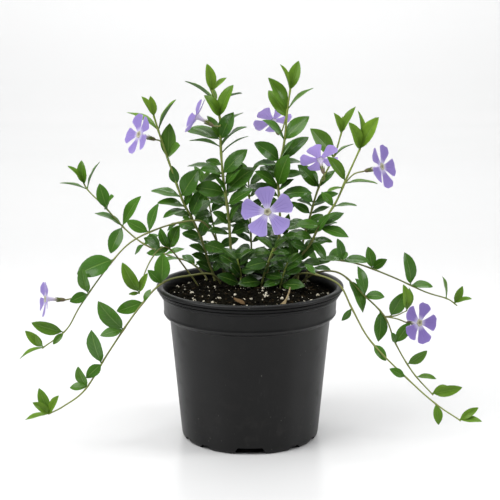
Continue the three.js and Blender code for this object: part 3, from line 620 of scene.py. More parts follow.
sample = make_leaf(Vector((0, 0, 0)), Vector((0, 0, 1)), 20, 40, 0, 0, draws_from(1))
print("a leaf of 20 mm is", round(sample["width"], 1), "mm wide")
print("and its tip lies", round((leaf_point(sample, 1, 0) - sample["root"]).length, 1), "mm from its root")

# %% [markdown]
# ## Room for each leaf
#
# On the real plant no leaf grows through another: it is pushed aside. Each new leaf here is tested
# against the petals, stems and leaves that are there already. If it touches one, it turns a few degrees
# and tries again, and a leaf that finds no room is left out. A search tree over each blade's triangles
# makes the test quick.

# %% Obstacles and the test for touching
CLEAR = 1.9
TEST_STATIONS = (0.15, 0.36, 0.58, 0.8, 1.0)
TEST_SIDES = (-0.8, 0, 0.8)


class Obstacle:
    """Points that take up room, the ball round them, and for a blade or a flower its triangles."""

    def __init__(self, points, corners=()):
        self.points = points
        low = Vector([min(p[i] for p in points) for i in range(3)])
        high = Vector([max(p[i] for p in points) for i in range(3)])
        self.middle = (low + high) / 2
        self.radius = max((p - self.middle).length for p in points)
        self.blade = BVHTree.FromPolygons(points, corners) if corners else None

    def near(self, points):
        return self.blade and any(self.blade.find_nearest(p, CLEAR)[0] for p in points)

    def touches(self, other):
        apart = (self.middle - other.middle).length
        if apart > self.radius + other.radius + CLEAR:
            return False
        return other.near(self.points) or self.near(other.points)


def leaf_obstacle(leaf):
    points = [leaf_point(leaf, s, v) for s in TEST_STATIONS for v in TEST_SIDES]
    corners = []
    for a in (0, 1, 3, 4, 6, 7, 9, 10):
        corners += [(a, a + 1, a + 4), (a, a + 4, a + 3)]
    return Obstacle(points, corners)


def flower_obstacle(bloom):
    points = [Vector(bloom["centre"])]
    points += [bloom_point(bloom, bloom["radius"], 36 * i, 0.6) for i in range(10)]
    return Obstacle(points, [(0, 1 + i, 1 + (i + 1) % 10) for i in range(10)])


def rod_obstacles(points):
    """A stem or a stalk as short lengths of five steps, each with a ball of its own."""
    return [Obstacle(points[i:i + 6]) for i in range(0, len(points) - 1, 5)]


print("the sample leaf is tested at", len(leaf_obstacle(sample).points), "points")

# %% The soil's surface, and what is too low for a leaf
SOIL_EDGE = 92.5
SOIL_MOUND = 5
SOIL_SPAN = 52
SOIL_LUMPS = 0.7
OUTSIDE_LIP = 61.6
INSIDE_LIP = 52.5
OVER_FLOOR = 2.5
OVER_LIP = 101.4
OVER_SOIL = 1.2


def soil_height(x, y):
    """The top of the compost: a low mound with lumps."""
    r = math.hypot(x, y)
    lumps = math.sin(x * 0.5 + 1) * math.sin(y * 0.55 + 2) + 0.6 * math.sin(x * 0.9 + y * 0.7)
    return SOIL_EDGE + SOIL_MOUND * (1 - (r / SOIL_SPAN) ** 2) + SOIL_LUMPS * lumps


def lowest_at(x, y):
    """How low a leaf may come beside the pot, over its lip and over the compost."""
    r = math.hypot(x, y)
    if r > OUTSIDE_LIP:
        return OVER_FLOOR
    if r > INSIDE_LIP:
        return OVER_LIP
    return soil_height(x, y) + OVER_SOIL


def too_low(points):
    return any(p.z < lowest_at(p.x, p.y) for p in points)


print("a leaf stays above", round(lowest_at(0, 0)), "mm in the middle,", lowest_at(90, 0), "outside")

# %% The turns a leaf may try, from the smallest to the largest
TURN = 8
RINGS = 6


def turns_to_try():
    """Changes of lean and of forward tilt in degrees, ring by ring."""
    turns = []
    for ring in range(RINGS):
        steps = range(-ring, ring + 1)
        turns += [(TURN * a, TURN * b) for a in steps for b in steps if max(abs(a), abs(b)) == ring]
    return turns


TURNS = turns_to_try()
print(len(TURNS), "turns, up to", max(lean for lean, forward in TURNS), "degrees")

# %% Grow the leaves, stem by stem
PLANT_SEED = 20210
SHORT_OF_TIP = 0.06
BESIDE_JOINT = 0.05


def place_leaves(shoot, in_the_way, draw):
    """The leaves that find room on a shoot. What they take up is added to what is in the way."""
    leaves, whorl, whorl_place = [], [], 0
    last = len(shoot["route"]) - 1
    for place, length, lean, forward, roll in shoot["leaves"]:
        if place != whorl_place:
            in_the_way += whorl
            whorl, whorl_place = [], place
        root = along(shoot["route"], min(place, last - SHORT_OF_TIP))
        below, above = [along(shoot["route"], place + side) for side in (-BESIDE_JOINT, BESIDE_JOINT)]
        stem_way = (above - below).normalized()
        seed = math.floor(1 + 1e6 * draw())
        for more_lean, more_forward in TURNS:
            leaf = make_leaf(root, stem_way, length, lean + more_lean, forward + more_forward, roll,
                             draws_from(seed))
            body = leaf_obstacle(leaf)
            if too_low(body.points) or any(body.touches(other) for other in in_the_way):
                continue
            leaf["young"] = place / last
            leaves.append(leaf)
            whorl.append(body)
            break
    in_the_way += whorl
    return leaves


shoots = [(name, stem) for name, stem in STEMS.items()]
shoots += [(name, stem["branch"]) for name, stem in STEMS.items() if "branch" in stem]
rods = [(name, rod) for name, shoot in shoots for rod in rod_obstacles(route_points(shoot["route"], 8))]
for bloom in BLOOMS.values():
    stalk = route_points([tuple(p) for p in stalk_route(bloom)], 5)[5:]
    rods += [(bloom["stem"], rod) for rod in rod_obstacles(stalk)]
placed = [flower_obstacle(bloom) for bloom in BLOOMS.values()]
placed += [Obstacle([bloom_point(bloom, 0, 0, h) for h in (-9, -6, -3, 0)]) for bloom in BLOOMS.values()]

leaves_of = {name: [] for name in STEMS}
draw = draws_from(PLANT_SEED)
for name, shoot in shoots:
    in_the_way = [rod for owner, rod in rods if owner != name] + placed
    before = len(in_the_way)
    leaves_of[name] += place_leaves(shoot, in_the_way, draw)
    placed += in_the_way[before:]
print(sum(len(leaves) for leaves in leaves_of.values()), "leaves where the solids have them")

# %% [markdown]
# ## The small inner leaves
#
# Low down the real plant is full of small dark leaves that get little light. The plain solids leave
# most of them out, to stay simple. They grow here by the same rule, from a seeded row of draws, and only
# where there is still room.

# %% Fill the middle of the plant
INNER_SEED = 777
# From where on the stem, to where, and how many pairs.
INNER = {
    "stem_left": (1.5, 4.8, 9), "stem_middle_left": (1.4, 4.8, 10), "stem_middle_right": (1.5, 5.6, 10),
    "stem_right_back": (1.4, 3.8, 7), "stem_right_front": (1.4, 5.2, 8),
    "trailer_left_back": (1.5, 3.6, 3), "trailer_right_back": (1.6, 3.4, 4),
    "shoot_front_middle": (1.4, 3.2, 5), "shoot_front_left": (1.3, 2.8, 5),
    "shoot_front_right": (1.3, 2.8, 5), "shoot_back_middle": (1.4, 4.0, 9),
    "shoot_back_left": (1.4, 4.0, 9), "shoot_back_right": (1.3, 3.0, 7),
}
INNER_LENGTHS = (12, 7)
INNER_LEANS = (50, 50)

inner_draw = draws_from(INNER_SEED)
grown_before = sum(len(leaves) for leaves in leaves_of.values())
for name, (start, end, count) in INNER.items():
    inner_leaves = []
    for i in range(count):
        place = start + (end - start) * (i + 0.5 * inner_draw()) / count
        length = chosen(INNER_LENGTHS, inner_draw)
        lean = chosen(INNER_LEANS, inner_draw)
        forward = 90 * (inner_draw() - 0.5)
        inner_leaves += [(place, length, -lean, -forward, 0), (place, length, lean, forward, 0)]
    in_the_way = [rod for owner, rod in rods if owner != name] + placed
    before = len(in_the_way)
    shoot = {"route": STEMS[name]["route"], "leaves": inner_leaves}
    leaves_of[name] += place_leaves(shoot, in_the_way, inner_draw)
    placed += in_the_way[before:]
print(sum(len(leaves) for leaves in leaves_of.values()) - grown_before, "small inner leaves")

# %% [markdown]
# ## The green finishes
#
# A periwinkle leaf is glossy and dark above, with a pale midrib and faint side veins, and greyer and
# duller below. Young leaves at the tips are a brighter green. Those low in the middle, where little
# light comes, get a painted shade that makes them darkest. Each leaf carries its own numbers as
# attributes, such as its age and how deep in that painted shade it sits, so one material can colour them
# all. The veins read how far along and across the blade a point is, and so they follow each leaf
# however it bends.


# %% Readings and noise for any finish
def reading(bench, name):
    """An attribute of the surface, as a number."""
    return bench.add("ShaderNodeAttribute", {"attribute_name": name}, out="Fac")


def grain(bench, size_mm, detail=3.0, seed=0.0):
    """Cloudy noise whose blots are about so many millimetres across."""
    where = bench.add("ShaderNodeTexCoord", out="Object")
    placed = bench.add("ShaderNodeMapping", sockets={"Vector": where, "Location": (seed, seed / 2, 0)})
    sockets = {"Vector": placed, "Scale": 1000 / size_mm, "Detail": detail}
    return bench.add("ShaderNodeTexNoise", sockets=sockets, out="Fac")


def tell_finish(material):
    print("finish", material.name, "has", len(material.node_tree.nodes), "nodes")


# %% Leaf finish
GREENS = {
    "young": (0.165, 0.300, 0.024), "grown": (0.043, 0.140, 0.0100),
    "fresh_young": (0.205, 0.345, 0.028), "fresh_grown": (0.080, 0.215, 0.0140),
    "cloudy": (0.060, 0.160, 0.009), "midrib_fold_shade": (0.020, 0.075, 0.0050),
    # The deep green is painted shade, laid on leaves low in the middle of the plant.
    "deep": (0.008, 0.032, 0.0016), "vein": (0.19, 0.33, 0.06),
    "under": (0.095, 0.190, 0.050), "under_vein": (0.22, 0.34, 0.12),
    "spot": (0.10, 0.055, 0.018), "blush": (0.115, 0.085, 0.040),
}
SIDE_VEINS = 7.5
VEIN_SLANT = 1.9


def finish_leaf():
    """Green in coats, from the plain colour by age up to spots and blush, under a clear coat."""
    material, bench, shader = finish_named("leaf", Specular_IOR_Level=0.12, Coat_Roughness=0.16)
    age = reading(bench, "age")
    tint = reading(bench, "tint")
    off_midrib = reading(bench, "across").size()
    below = reading(bench, "under")
    clouds = grain(bench, 3.5)
    fine = grain(bench, 0.5, seed=3.0)

    midrib = 1 - off_midrib.step(0.025, 0.10)
    ribs = ((reading(bench, "along") * SIDE_VEINS - off_midrib * VEIN_SLANT) * (2 * math.pi)).cos()
    veins = ribs.step(0.90, 1.0) * off_midrib.step(0.05, 0.2) * (1 - off_midrib.step(0.75, 0.95))
    rim = off_midrib.step(0.93, 0.99)
    pale = (midrib * 0.42).most(veins * 0.10).most(rim * 0.15)
    spots = grain(bench, 1.1, detail=1.0, seed=9.0).step(0.70, 0.74) * tint.step(0.72, 0.8) * age
    green = bench.layers(
        bench.blend(age, GREENS["young"], GREENS["grown"]),
        (tint * 0.6, bench.blend(age, GREENS["fresh_young"], GREENS["fresh_grown"])),
        ((clouds - 0.42) * 1.1, GREENS["cloudy"]),
        # Painted shade along the fold of the midrib, darkest beside it.
        ((1 - off_midrib.step(0.05, 0.85)) * 0.22, GREENS["midrib_fold_shade"]),
        # Painted shade: the deep attribute darkens leaves low in the middle of the plant.
        ((reading(bench, "deep") * 1.3).least(0.88), GREENS["deep"]),
        (pale, GREENS["vein"]),
        (below, bench.blend(midrib * 0.5 + veins * 0.12, GREENS["under"], GREENS["under_vein"])),
        (spots * 0.7, GREENS["spot"]),
        (reading(bench, "blush"), GREENS["blush"]),
    )
    rough = 0.34 + 0.10 * clouds + 0.12 * fine + 0.16 * below + 0.06 * (1 - age)
    relief = fine * 0.25 + clouds * 0.5 - midrib * 0.9 - veins * 0.55
    dress(bench, shader, green, rough, relief, strength=0.7, deep_mm=0.34)
    plug(bench.tree, shader.inputs["Coat Weight"], 0.40 * (1 - below) * age)
    return material


leaf_finish = finish_leaf()
tell_finish(leaf_finish)

# %% Stem finish
BARKS = {
    "tip": (0.270, 0.365, 0.055), "root": (0.150, 0.145, 0.050), "cloudy": (0.225, 0.200, 0.065),
    "fleck": (0.075, 0.065, 0.026), "blush": (0.110, 0.060, 0.052),
}


def finish_stem():
    """Brown and woody low down, olive and smooth near the tip, with a purple blush on the cup."""
    material, bench, shader = finish_named("stem", Specular_IOR_Level=0.45)
    clouds = grain(bench, 2.5)
    fine = grain(bench, 0.35, seed=5.0)
    bark = bench.layers(
        bench.blend(reading(bench, "age"), BARKS["tip"], BARKS["root"]),
        ((clouds - 0.40) * 1.2, BARKS["cloudy"]),
        (fine.step(0.55, 0.75) * 0.3, BARKS["fleck"]),
        (reading(bench, "blush"), BARKS["blush"]),
    )
    dress(bench, shader, bark, 0.42 + 0.3 * fine, fine, strength=0.4, deep_mm=0.2)
    return material


stem_finish = finish_stem()
tell_finish(stem_finish)

# %% [markdown]
# ## One leaf, flat
#
# Over three hundred leaves grow from this one thin sheet. It has few faces, because it is repeated so
# often. The upper and the lower skin share their rim, which is marked sharp so that the light breaks
# there. Each point knows how far along and across the blade it lies and how thick the blade is there.

# %% The leaf sheet's points and faces
STATIONS = (0, 0.06, 0.14, 0.25, 0.37, 0.50, 0.63, 0.76, 0.87, 0.95)
LANES = (-1, -0.5, 0, 0.5, 1)
THICK = 0.20
THINNING = 0.12
KEEL = 1.7


def leaf_sheet():
    """Points, what each one knows, and the faces of the upper and of the lower skin."""
    points, notes, upper, lower = [], [], [], []

    def add_point(s, v, lift):
        points.append((0.25 * v * half_width(s), s, 0.1 * lift))
        notes.append({"along": s, "across": v, "lift": lift, "breadth": half_width(s)})
        return len(points) - 1

    for s in STATIONS:
        thick = THICK - THINNING * s
        row = [add_point(s, v, 0 if abs(v) == 1 else thick) for v in LANES]
        keel = add_point(s, 0, -KEEL * thick)
        upper.append(row)
        lower.append([row[0], keel, row[4]])
    tip = add_point(1, 0, 0)
    skins = []
    for rows in (upper, lower):
        skin = [(here[i], here[i + 1], there[i + 1], there[i])
                for here, there in zip(rows, rows[1:]) for i in range(len(here) - 1)]
        skin += [(rows[-1][i], rows[-1][i + 1], tip) for i in range(len(rows[-1]) - 1)]
        skins.append(skin)
    below = [face[::-1] for face in skins[1]] + [(lower[0][1], *reversed(upper[0]))]
    return points, notes, skins[0], below


sheet_points, sheet_notes, sheet_above, sheet_below = leaf_sheet()
print("leaf sheet:", len(sheet_points), "points,", len(sheet_above), "and", len(sheet_below), "faces")

# %% [markdown]
# Whatever a mesh becomes, some steps are the same: it is put in the scene, its points get their notes,
# and it is shaded smooth. The leaf sheet is the first to use them.


# %% Helpers for any mesh
def write_notes(mesh, notes):
    """Store what each point knows as attributes of the mesh."""
    for name in sorted({name for note in notes for name in note}):
        vector = any(isinstance(note.get(name), Vector) for note in notes)
        blank = Vector((0, 0, 0)) if vector else 0.0
        values = [note.get(name, blank) for note in notes]
        attribute = mesh.attributes.new(name, "FLOAT_VECTOR" if vector else "FLOAT", "POINT")
        if vector:
            attribute.data.foreach_set("vector", [part for value in values for part in value])
        else:
            attribute.data.foreach_set("value", values)


def put(name, data):
    """A new thing in the scene: a mesh, a lamp or a camera."""
    thing = bpy.data.objects.new(name, data)
    bpy.context.collection.objects.link(thing)
    return thing


def new_object(name, points, edges, faces):
    mesh = bpy.data.meshes.new(name)
    mesh.from_pydata([tuple(p) for p in points], edges, faces)
    return put(name, mesh)


def smooth(mesh, sharp_from=None):
    """Shade the mesh smooth, except at edges sharper than so many degrees."""
    mesh.polygons.foreach_set("use_smooth", [True] * len(mesh.polygons))
    if sharp_from:
        mesh.set_sharp_from_angle(angle=sharp_from * RAD)


def mark_under(mesh, above, below):
    """Note which faces are the under side. They are the last ones of the mesh."""
    under = mesh.attributes.new("under", "FLOAT", "FACE")
    under.data.foreach_set("value", [0.0] * above + [1.0] * below)


def triangles_in(mesh):
    mesh.calc_loop_triangles()
    return len(mesh.loop_triangles)


def make_leaf_sheet():
    sheet = new_object("leaf_sheet", sheet_points, [], sheet_above + sheet_below)
    write_notes(sheet.data, sheet_notes)
    mark_under(sheet.data, len(sheet_above), len(sheet_below))
    smooth(sheet.data)
    skins_of = {}
    for face in sheet.data.polygons:
        for key in face.edge_keys:
            skins_of.setdefault(key, set()).add(face.index < len(sheet_above))
    rim = sheet.data.attributes.new("sharp_edge", "BOOLEAN", "EDGE")
    rim.data.foreach_set("value", [len(skins_of[edge.key]) == 2 for edge in sheet.data.edges])
    return sheet


sheet = make_leaf_sheet()
print("leaf sheet:", triangles_in(sheet.data), "triangles")

# %% [markdown]
# ## The plan of a leafy stem
#
# A stem piece starts as a plan: its line as bare edges, and each leaf as one loose point. An edge point
# holds how thick the stem is there. A leaf's point holds where it grows, where it points, its size, how
# it bends, its age and its own tint. The node tree then only has to follow the plan.

# %% Stem lines
STEPS = 8
TAPER = 0.42
JOINT_SPAN = 0.11
JOINT_SWELLING = 0.3
TRAILING_GIRTH = 0.85
TRAILING_AGEING = 0.6


def stem_line(shoot, trails):
    """The points of a stem and what each one knows: thicker at a joint, and brown if it trails."""
    last = len(shoot["route"]) - 1
    joints = [leaf[0] for leaf in shoot["leaves"]]
    points, notes = [], []
    for i in range(last * STEPS + 1):
        place = i / STEPS
        swelling = max([math.exp(-(((place - joint) / JOINT_SPAN) ** 2)) for joint in joints])
        girth = shoot["thick"] * (1 - TAPER * place / last) * (1 + JOINT_SWELLING * swelling)
        girth *= TRAILING_GIRTH if trails else 1
        points.append(along(shoot["route"], place))
        notes.append({"girth": girth, "age": 1 - (TRAILING_AGEING if trails else 1) * place / last})
    return points, notes


line, line_notes = stem_line(STEMS["stem_left"], False)
print("stem_left:", len(line), "points, thick", [round(line_notes[i]["girth"], 2) for i in (0, -1)], "mm")

# %% Flower stalks, cups and sepals
# How far along the cup, and how thick it is there.
CUP = ((0.12, 0.72), (0.3, 1.08), (0.62, 1.28), (1.0, 1.36))
STALK_STEPS = 7
STALK_GIRTH = 0.48
SEPAL_SPREADS = (0.08, 0.12)
SEPAL_LENGTHS = (4.2, 1)
SEPAL = {"width": 1.3, "arch": -14 * RAD, "fold": 12 * RAD, "age": 0.35, "blush": 0.55}


def stalk_line(bloom):
    """A flower stalk, which ends in the cup that holds the tube."""
    root, bend, foot, end = stalk_route(bloom)
    points = route_points([tuple(root), tuple(bend), tuple(foot)], STALK_STEPS)
    last = 2 * STALK_STEPS
    notes = [{"girth": STALK_GIRTH, "age": 0.25, "blush": 0.5 * i / last} for i in range(last + 1)]
    for share, girth in CUP:
        points.append(foot.lerp(end, share))
        notes.append({"girth": girth, "age": 0.2, "blush": 0.85})
    return points, notes


def sepals(bloom, draw):
    """Five slender green points round the cup, made of the same sheet as the leaves."""
    foot, end = stalk_route(bloom)[2:]
    right, up, faces = flower_axes(bloom)
    leaves = []
    for k in range(5):
        angle = (bloom["turn"] + 36 + 72 * k) * RAD
        out = right * math.cos(angle) + up * math.sin(angle)
        way = (faces + out * chosen(SEPAL_SPREADS, draw)).normalized()
        leaves.append({
            **SEPAL, "root": foot.lerp(end, 0.45) + out, "way": way,
            "upper": (out - way * out.dot(way)).normalized(),
            "length": chosen(SEPAL_LENGTHS, draw), "tint": draw(),
        })
    return leaves


print("the front flower's stalk and cup:", len(stalk_line(BLOOMS["bloom_front"])[0]), "points")

# %% [markdown]
# Leaves change along a shoot. Those at its tip are young: slim, half folded and bright. Those low in the
# middle of the plant stand in its shade and get a painted shade that makes them darkest. Both follow
# from where the leaf's root is.

# %% What a leaf's loose point holds
SLIM_FROM = 0.80
SLIM_SPAN = 0.15
SLIM_WIDTH = 0.20
SLIM_FOLD = 12
# The middle of the leaves' painted shade, how far out it reaches and how high up.
SHADE_MIDDLE = Vector((0, 12, 88))
SHADE_REACH = 52
SHADE_HEIGHT = 100
LEAF_NUMBERS = ("root", "way", "upper", "length", "width", "arch", "fold")


def limited(share):
    return min(1.0, max(0.0, share))


def painted_shade_in_plant(place):
    """How much painted shade a leaf gets: 1 low in the middle of the plant, where little light comes, and 0
    at its outside and its top.
    """
    aside = place - SHADE_MIDDLE
    return max(0, 1 - math.hypot(aside.x, aside.y) / SHADE_REACH) * limited(1 - aside.z / SHADE_HEIGHT)


def leaf_note(leaf, youth_and_shade, draw):
    """The youngest leaves of a shoot are slim and folded. How bright they are follows the shoot's youth,
    which is lowered as painted shade on the short shoots.
    """
    young = leaf.get("young", 0)
    slim = limited((young - SLIM_FROM) / SLIM_SPAN)
    note = {name: leaf[name] for name in LEAF_NUMBERS}
    note["width"] *= 1 - SLIM_WIDTH * slim
    note["fold"] += SLIM_FOLD * RAD * slim
    note["is_leaf"] = 1.0
    note["age"] = leaf.get("age", limited((1.03 - young * youth_and_shade) * 3.2 + 0.35 * (draw() - 0.5)))
    note["tint"] = leaf.get("tint", draw())
    note["blush"] = leaf.get("blush", 0.0)
    # How much painted shade the leaf gets, low in the middle of the plant.
    note["deep"] = painted_shade_in_plant(leaf["root"])
    return note


print("a leaf low in the middle is", round(painted_shade_in_plant(Vector((0, 5, 100))), 2), "deep")

# %% The whole plan of one stem piece
LEAF_SEED = 4000
TRAILING_YOUTH = 0.92
# Painted shade: the short shoots round the base count as less young, so their leaves stay dark to the tip.
SHORT_SHADED_YOUTH = 0.8


def stem_plan(name):
    """One object for a stem piece: lines as edges, leaves as loose points. All still in millimetres."""
    stem = STEMS[name]
    own_blooms = [bloom for bloom in BLOOMS.values() if bloom["stem"] == name]
    trails = name in TRAILING_STEMS
    youth_and_shade = TRAILING_YOUTH if trails else SHORT_SHADED_YOUTH if name in SHORT_SHOOTS else 1
    lines = [stem_line(stem, trails)] + [stalk_line(bloom) for bloom in own_blooms]
    if "branch" in stem:
        lines.append(stem_line(stem["branch"], trails))
    draw = draws_from(LEAF_SEED + 7 * len(name) + sum(map(ord, name)))
    growing = leaves_of[name] + [sepal for bloom in own_blooms for sepal in sepals(bloom, draw)]
    points, notes, edges = [], [], []
    for line, line_notes in lines:
        edges += [(len(points) + i, len(points) + i + 1) for i in range(len(line) - 1)]
        points += line
        notes += line_notes
    for leaf in growing:
        points.append(leaf["root"])
        notes.append(leaf_note(leaf, youth_and_shade, draw))
    plan = new_object(name + "_fine", points, edges, [])
    write_notes(plan.data, notes)
    return plan


print("stem_left will have", len(leaves_of["stem_left"]), "leaves")

# %% [markdown]
# ## The tree that grows a stem
#
# The tree parts the plan in two. Edges become curves, and a circle swept along them, scaled by the girth,
# gives stems, stalks and cups. At each loose point it puts one leaf sheet, makes it real, and then moves
# every point of it: forward along an arc, up by the arch, out by the width at that place, and up again
# by the fold. It is the same rule as in `leaf_point`, written once more as sums of sockets.


# %% Small helpers for any tree
def new_tree(name, inputs):
    """A tree with named inputs: itself, a bench for it, what comes in, and where its result goes."""
    tree = bpy.data.node_groups.new(name, "GeometryNodeTree")
    for label, kind in {"Plan": "Geometry", **inputs}.items():
        tree.interface.new_socket(label, in_out="INPUT", socket_type="NodeSocket" + kind)
    tree.interface.new_socket("Result", in_out="OUTPUT", socket_type="NodeSocketGeometry")
    bench = Bench(tree)
    entry = bench.add("NodeGroupInput", out=None)
    ports = {socket.name: Wire(tree, socket) for socket in entry.outputs if socket.name}
    return tree, bench, ports, tree.nodes.new("NodeGroupOutput").inputs[0]


def grow(plan, tree, **values):
    """Run the tree on the plan and keep the result as a plain mesh, with the modifier gone."""
    modifier = plan.modifiers.new("grow", "NODES")
    modifier.node_group = tree
    for item in tree.interface.items_tree:
        if item.in_out == "INPUT" and item.name in values:
            modifier[item.identifier] = values[item.name]
    evaluated = plan.evaluated_get(bpy.context.evaluated_depsgraph_get())
    grown = bpy.data.meshes.new_from_object(evaluated)
    plan.modifiers.clear()
    plan.data = grown
    return plan


def join(bench, *parts):
    """Several geometries as one."""
    node = bench.add("GeometryNodeJoinGeometry", out=None)
    for part in parts:
        plug(bench.tree, node.inputs[0], part)
    return Wire(bench.tree, node.outputs[0])


def field(bench, name, kind="FLOAT"):
    return bench.add("GeometryNodeInputNamedAttribute", {"data_type": kind}, {"Name": name})


def made_real(bench, geometry):
    return bench.add("GeometryNodeRealizeInstances", sockets={"Geometry": geometry})


def finished(bench, geometry, finish):
    return bench.add("GeometryNodeSetMaterial", sockets={"Geometry": geometry, "Material": finish})


print("tree helpers ready")

# %% The leafy stem's tree
SOFT_FOLD = 0.25
CUSHION = 0.022
RIPPLE = 0.022


def bent_blade(bench):
    """Where a point of a leaf lies, in millimetres."""
    root, way, upper = [field(bench, name, "FLOAT_VECTOR") for name in ("root", "way", "upper")]
    length, width, arch, fold = [field(bench, name) for name in ("length", "width", "arch", "fold")]
    s, v, tint = field(bench, "along"), field(bench, "across"), field(bench, "tint")
    half = arch / 2
    turn = half - arch * s
    ahead = (half.sin() - turn.sin()) / arch * length
    rise = (turn.cos() - half.cos()) / arch * length
    side = way.cross(upper)
    normal = upper * turn.cos() - way * turn.sin()
    reach = v * (field(bench, "breadth") * width / 2).most(STALK_HALF)
    fold_rise = ((reach * fold.sin()) ** 2 + SOFT_FOLD * SOFT_FOLD).root() - SOFT_FOLD
    cushion = (v.size() * math.pi).sin() * width * CUSHION
    ripple = (s * 11 + tint * 40 + v * 1.5).sin() * v * v * width * RIPPLE
    lift = fold_rise + cushion + ripple + field(bench, "lift")
    return root + way * ahead + upper * rise + side * (reach * fold.cos()) + normal * lift


def leafy_stem_tree():
    """Leaves on the loose points of a plan, and rods along its edges."""
    tree, bench, ports, result = new_tree("leafy stem", {
        "Leaf": "Object", "Sides": "Int", "Leaf finish": "Material", "Stem finish": "Material"})
    chosen_points = {"Geometry": ports["Plan"], "Selection": field(bench, "is_leaf").above(0.5)}
    parts = bench.add("GeometryNodeSeparateGeometry", {"domain": "POINT"}, chosen_points, out=None)
    leaf_points, lines = [Wire(tree, socket) for socket in parts.outputs[:2]]

    leaf = bench.add("GeometryNodeObjectInfo", sockets={"Object": ports["Leaf"]}, out="Geometry")
    blades = bench.add("GeometryNodeInstanceOnPoints", sockets={"Points": leaf_points, "Instance": leaf})
    place = {"Geometry": made_real(bench, blades), "Position": bent_blade(bench) * MM}
    blades = bench.add("GeometryNodeSetPosition", sockets=place)
    blades = finished(bench, blades, ports["Leaf finish"])

    where = bench.add("GeometryNodeInputPosition")
    lines = bench.add("GeometryNodeSetPosition", sockets={"Geometry": lines, "Position": where * MM})
    curves = bench.add("GeometryNodeMeshToCurve", sockets={"Mesh": lines})
    ring = {"Resolution": ports["Sides"], "Radius": MM}
    circle = bench.add("GeometryNodeCurvePrimitiveCircle", sockets=ring)
    sweep = {"Curve": curves, "Profile Curve": circle, "Scale": field(bench, "girth"), "Fill Caps": True}
    rods = bench.add("GeometryNodeCurveToMesh", sockets=sweep)
    rods = finished(bench, rods, ports["Stem finish"])
    plug(tree, result, made_real(bench, join(bench, blades, rods)))
    return tree


leafy_stem = leafy_stem_tree()
print("leafy stem tree:", len(leafy_stem.nodes), "nodes")

# %% Grow every stem
BUILT_IN = {"position", "sharp_edge", "sharp_face", "material_index", "UVMap"}
STEM_SIDES = 10


def keep_only(mesh, names):
    """Drop the helper attributes. Built-in ones, such as position, are left alone."""
    for name in [a.name for a in mesh.attributes]:
        if name not in names | BUILT_IN and not name.startswith("."):
            mesh.attributes.remove(mesh.attributes[name])


stem_triangles = 0
for name in STEMS:
    piece = grow(stem_plan(name), leafy_stem, Leaf=sheet, Sides=STEM_SIDES,
                 **{"Leaf finish": leaf_finish, "Stem finish": stem_finish})
    keep_only(piece.data, {"along", "across", "under", "age", "tint", "blush", "deep"})
    stem_triangles += triangles_in(piece.data)
    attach(piece, "root")
    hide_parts(name)
bpy.data.objects.remove(sheet)
print(len(STEMS), "leafy stems,", stem_triangles, "triangles")

# %% [markdown]
# ## The petals' finish
#
# The petals are lavender. How deep the violet is differs from flower to flower as painted shade: palest
# on the flower in front and deeper on most of the outer ones. Fine darker lines run out from the throat
# over a white star. At the throat sits a beige pentagon, darker in its middle. The backs are paler, partly
# in their own colour and partly as painted light for what comes through so thin a sheet, and a faint
# painted glow lies on them. The tube is greenish white with a purple breath. Again each point knows its
# place on its petal, so the lines follow the petals.

# %% Petal finish
VIOLETS = {
    "pale": (0.330, 0.262, 0.590), "deep": (0.200, 0.135, 0.425),
    "pale_cloud": (0.275, 0.210, 0.545), "deep_cloud": (0.235, 0.165, 0.480),
    "pale_rim": (0.385, 0.310, 0.650), "deep_rim": (0.260, 0.185, 0.500),
    "pale_back": (0.62, 0.45, 1.0), "deep_back": (0.34, 0.24, 0.66),
    "star": (0.74, 0.72, 0.84), "line": (0.150, 0.090, 0.340), "back_line": (0.28, 0.21, 0.52),
    "seam": (0.76, 0.74, 0.86), "shine": (0.30, 0.22, 0.60),
    "tube_foot": (0.30, 0.29, 0.16), "tube_mouth": (0.62, 0.56, 0.72),
    "throat": (0.22, 0.20, 0.12), "eye": (0.42, 0.41, 0.30),
}


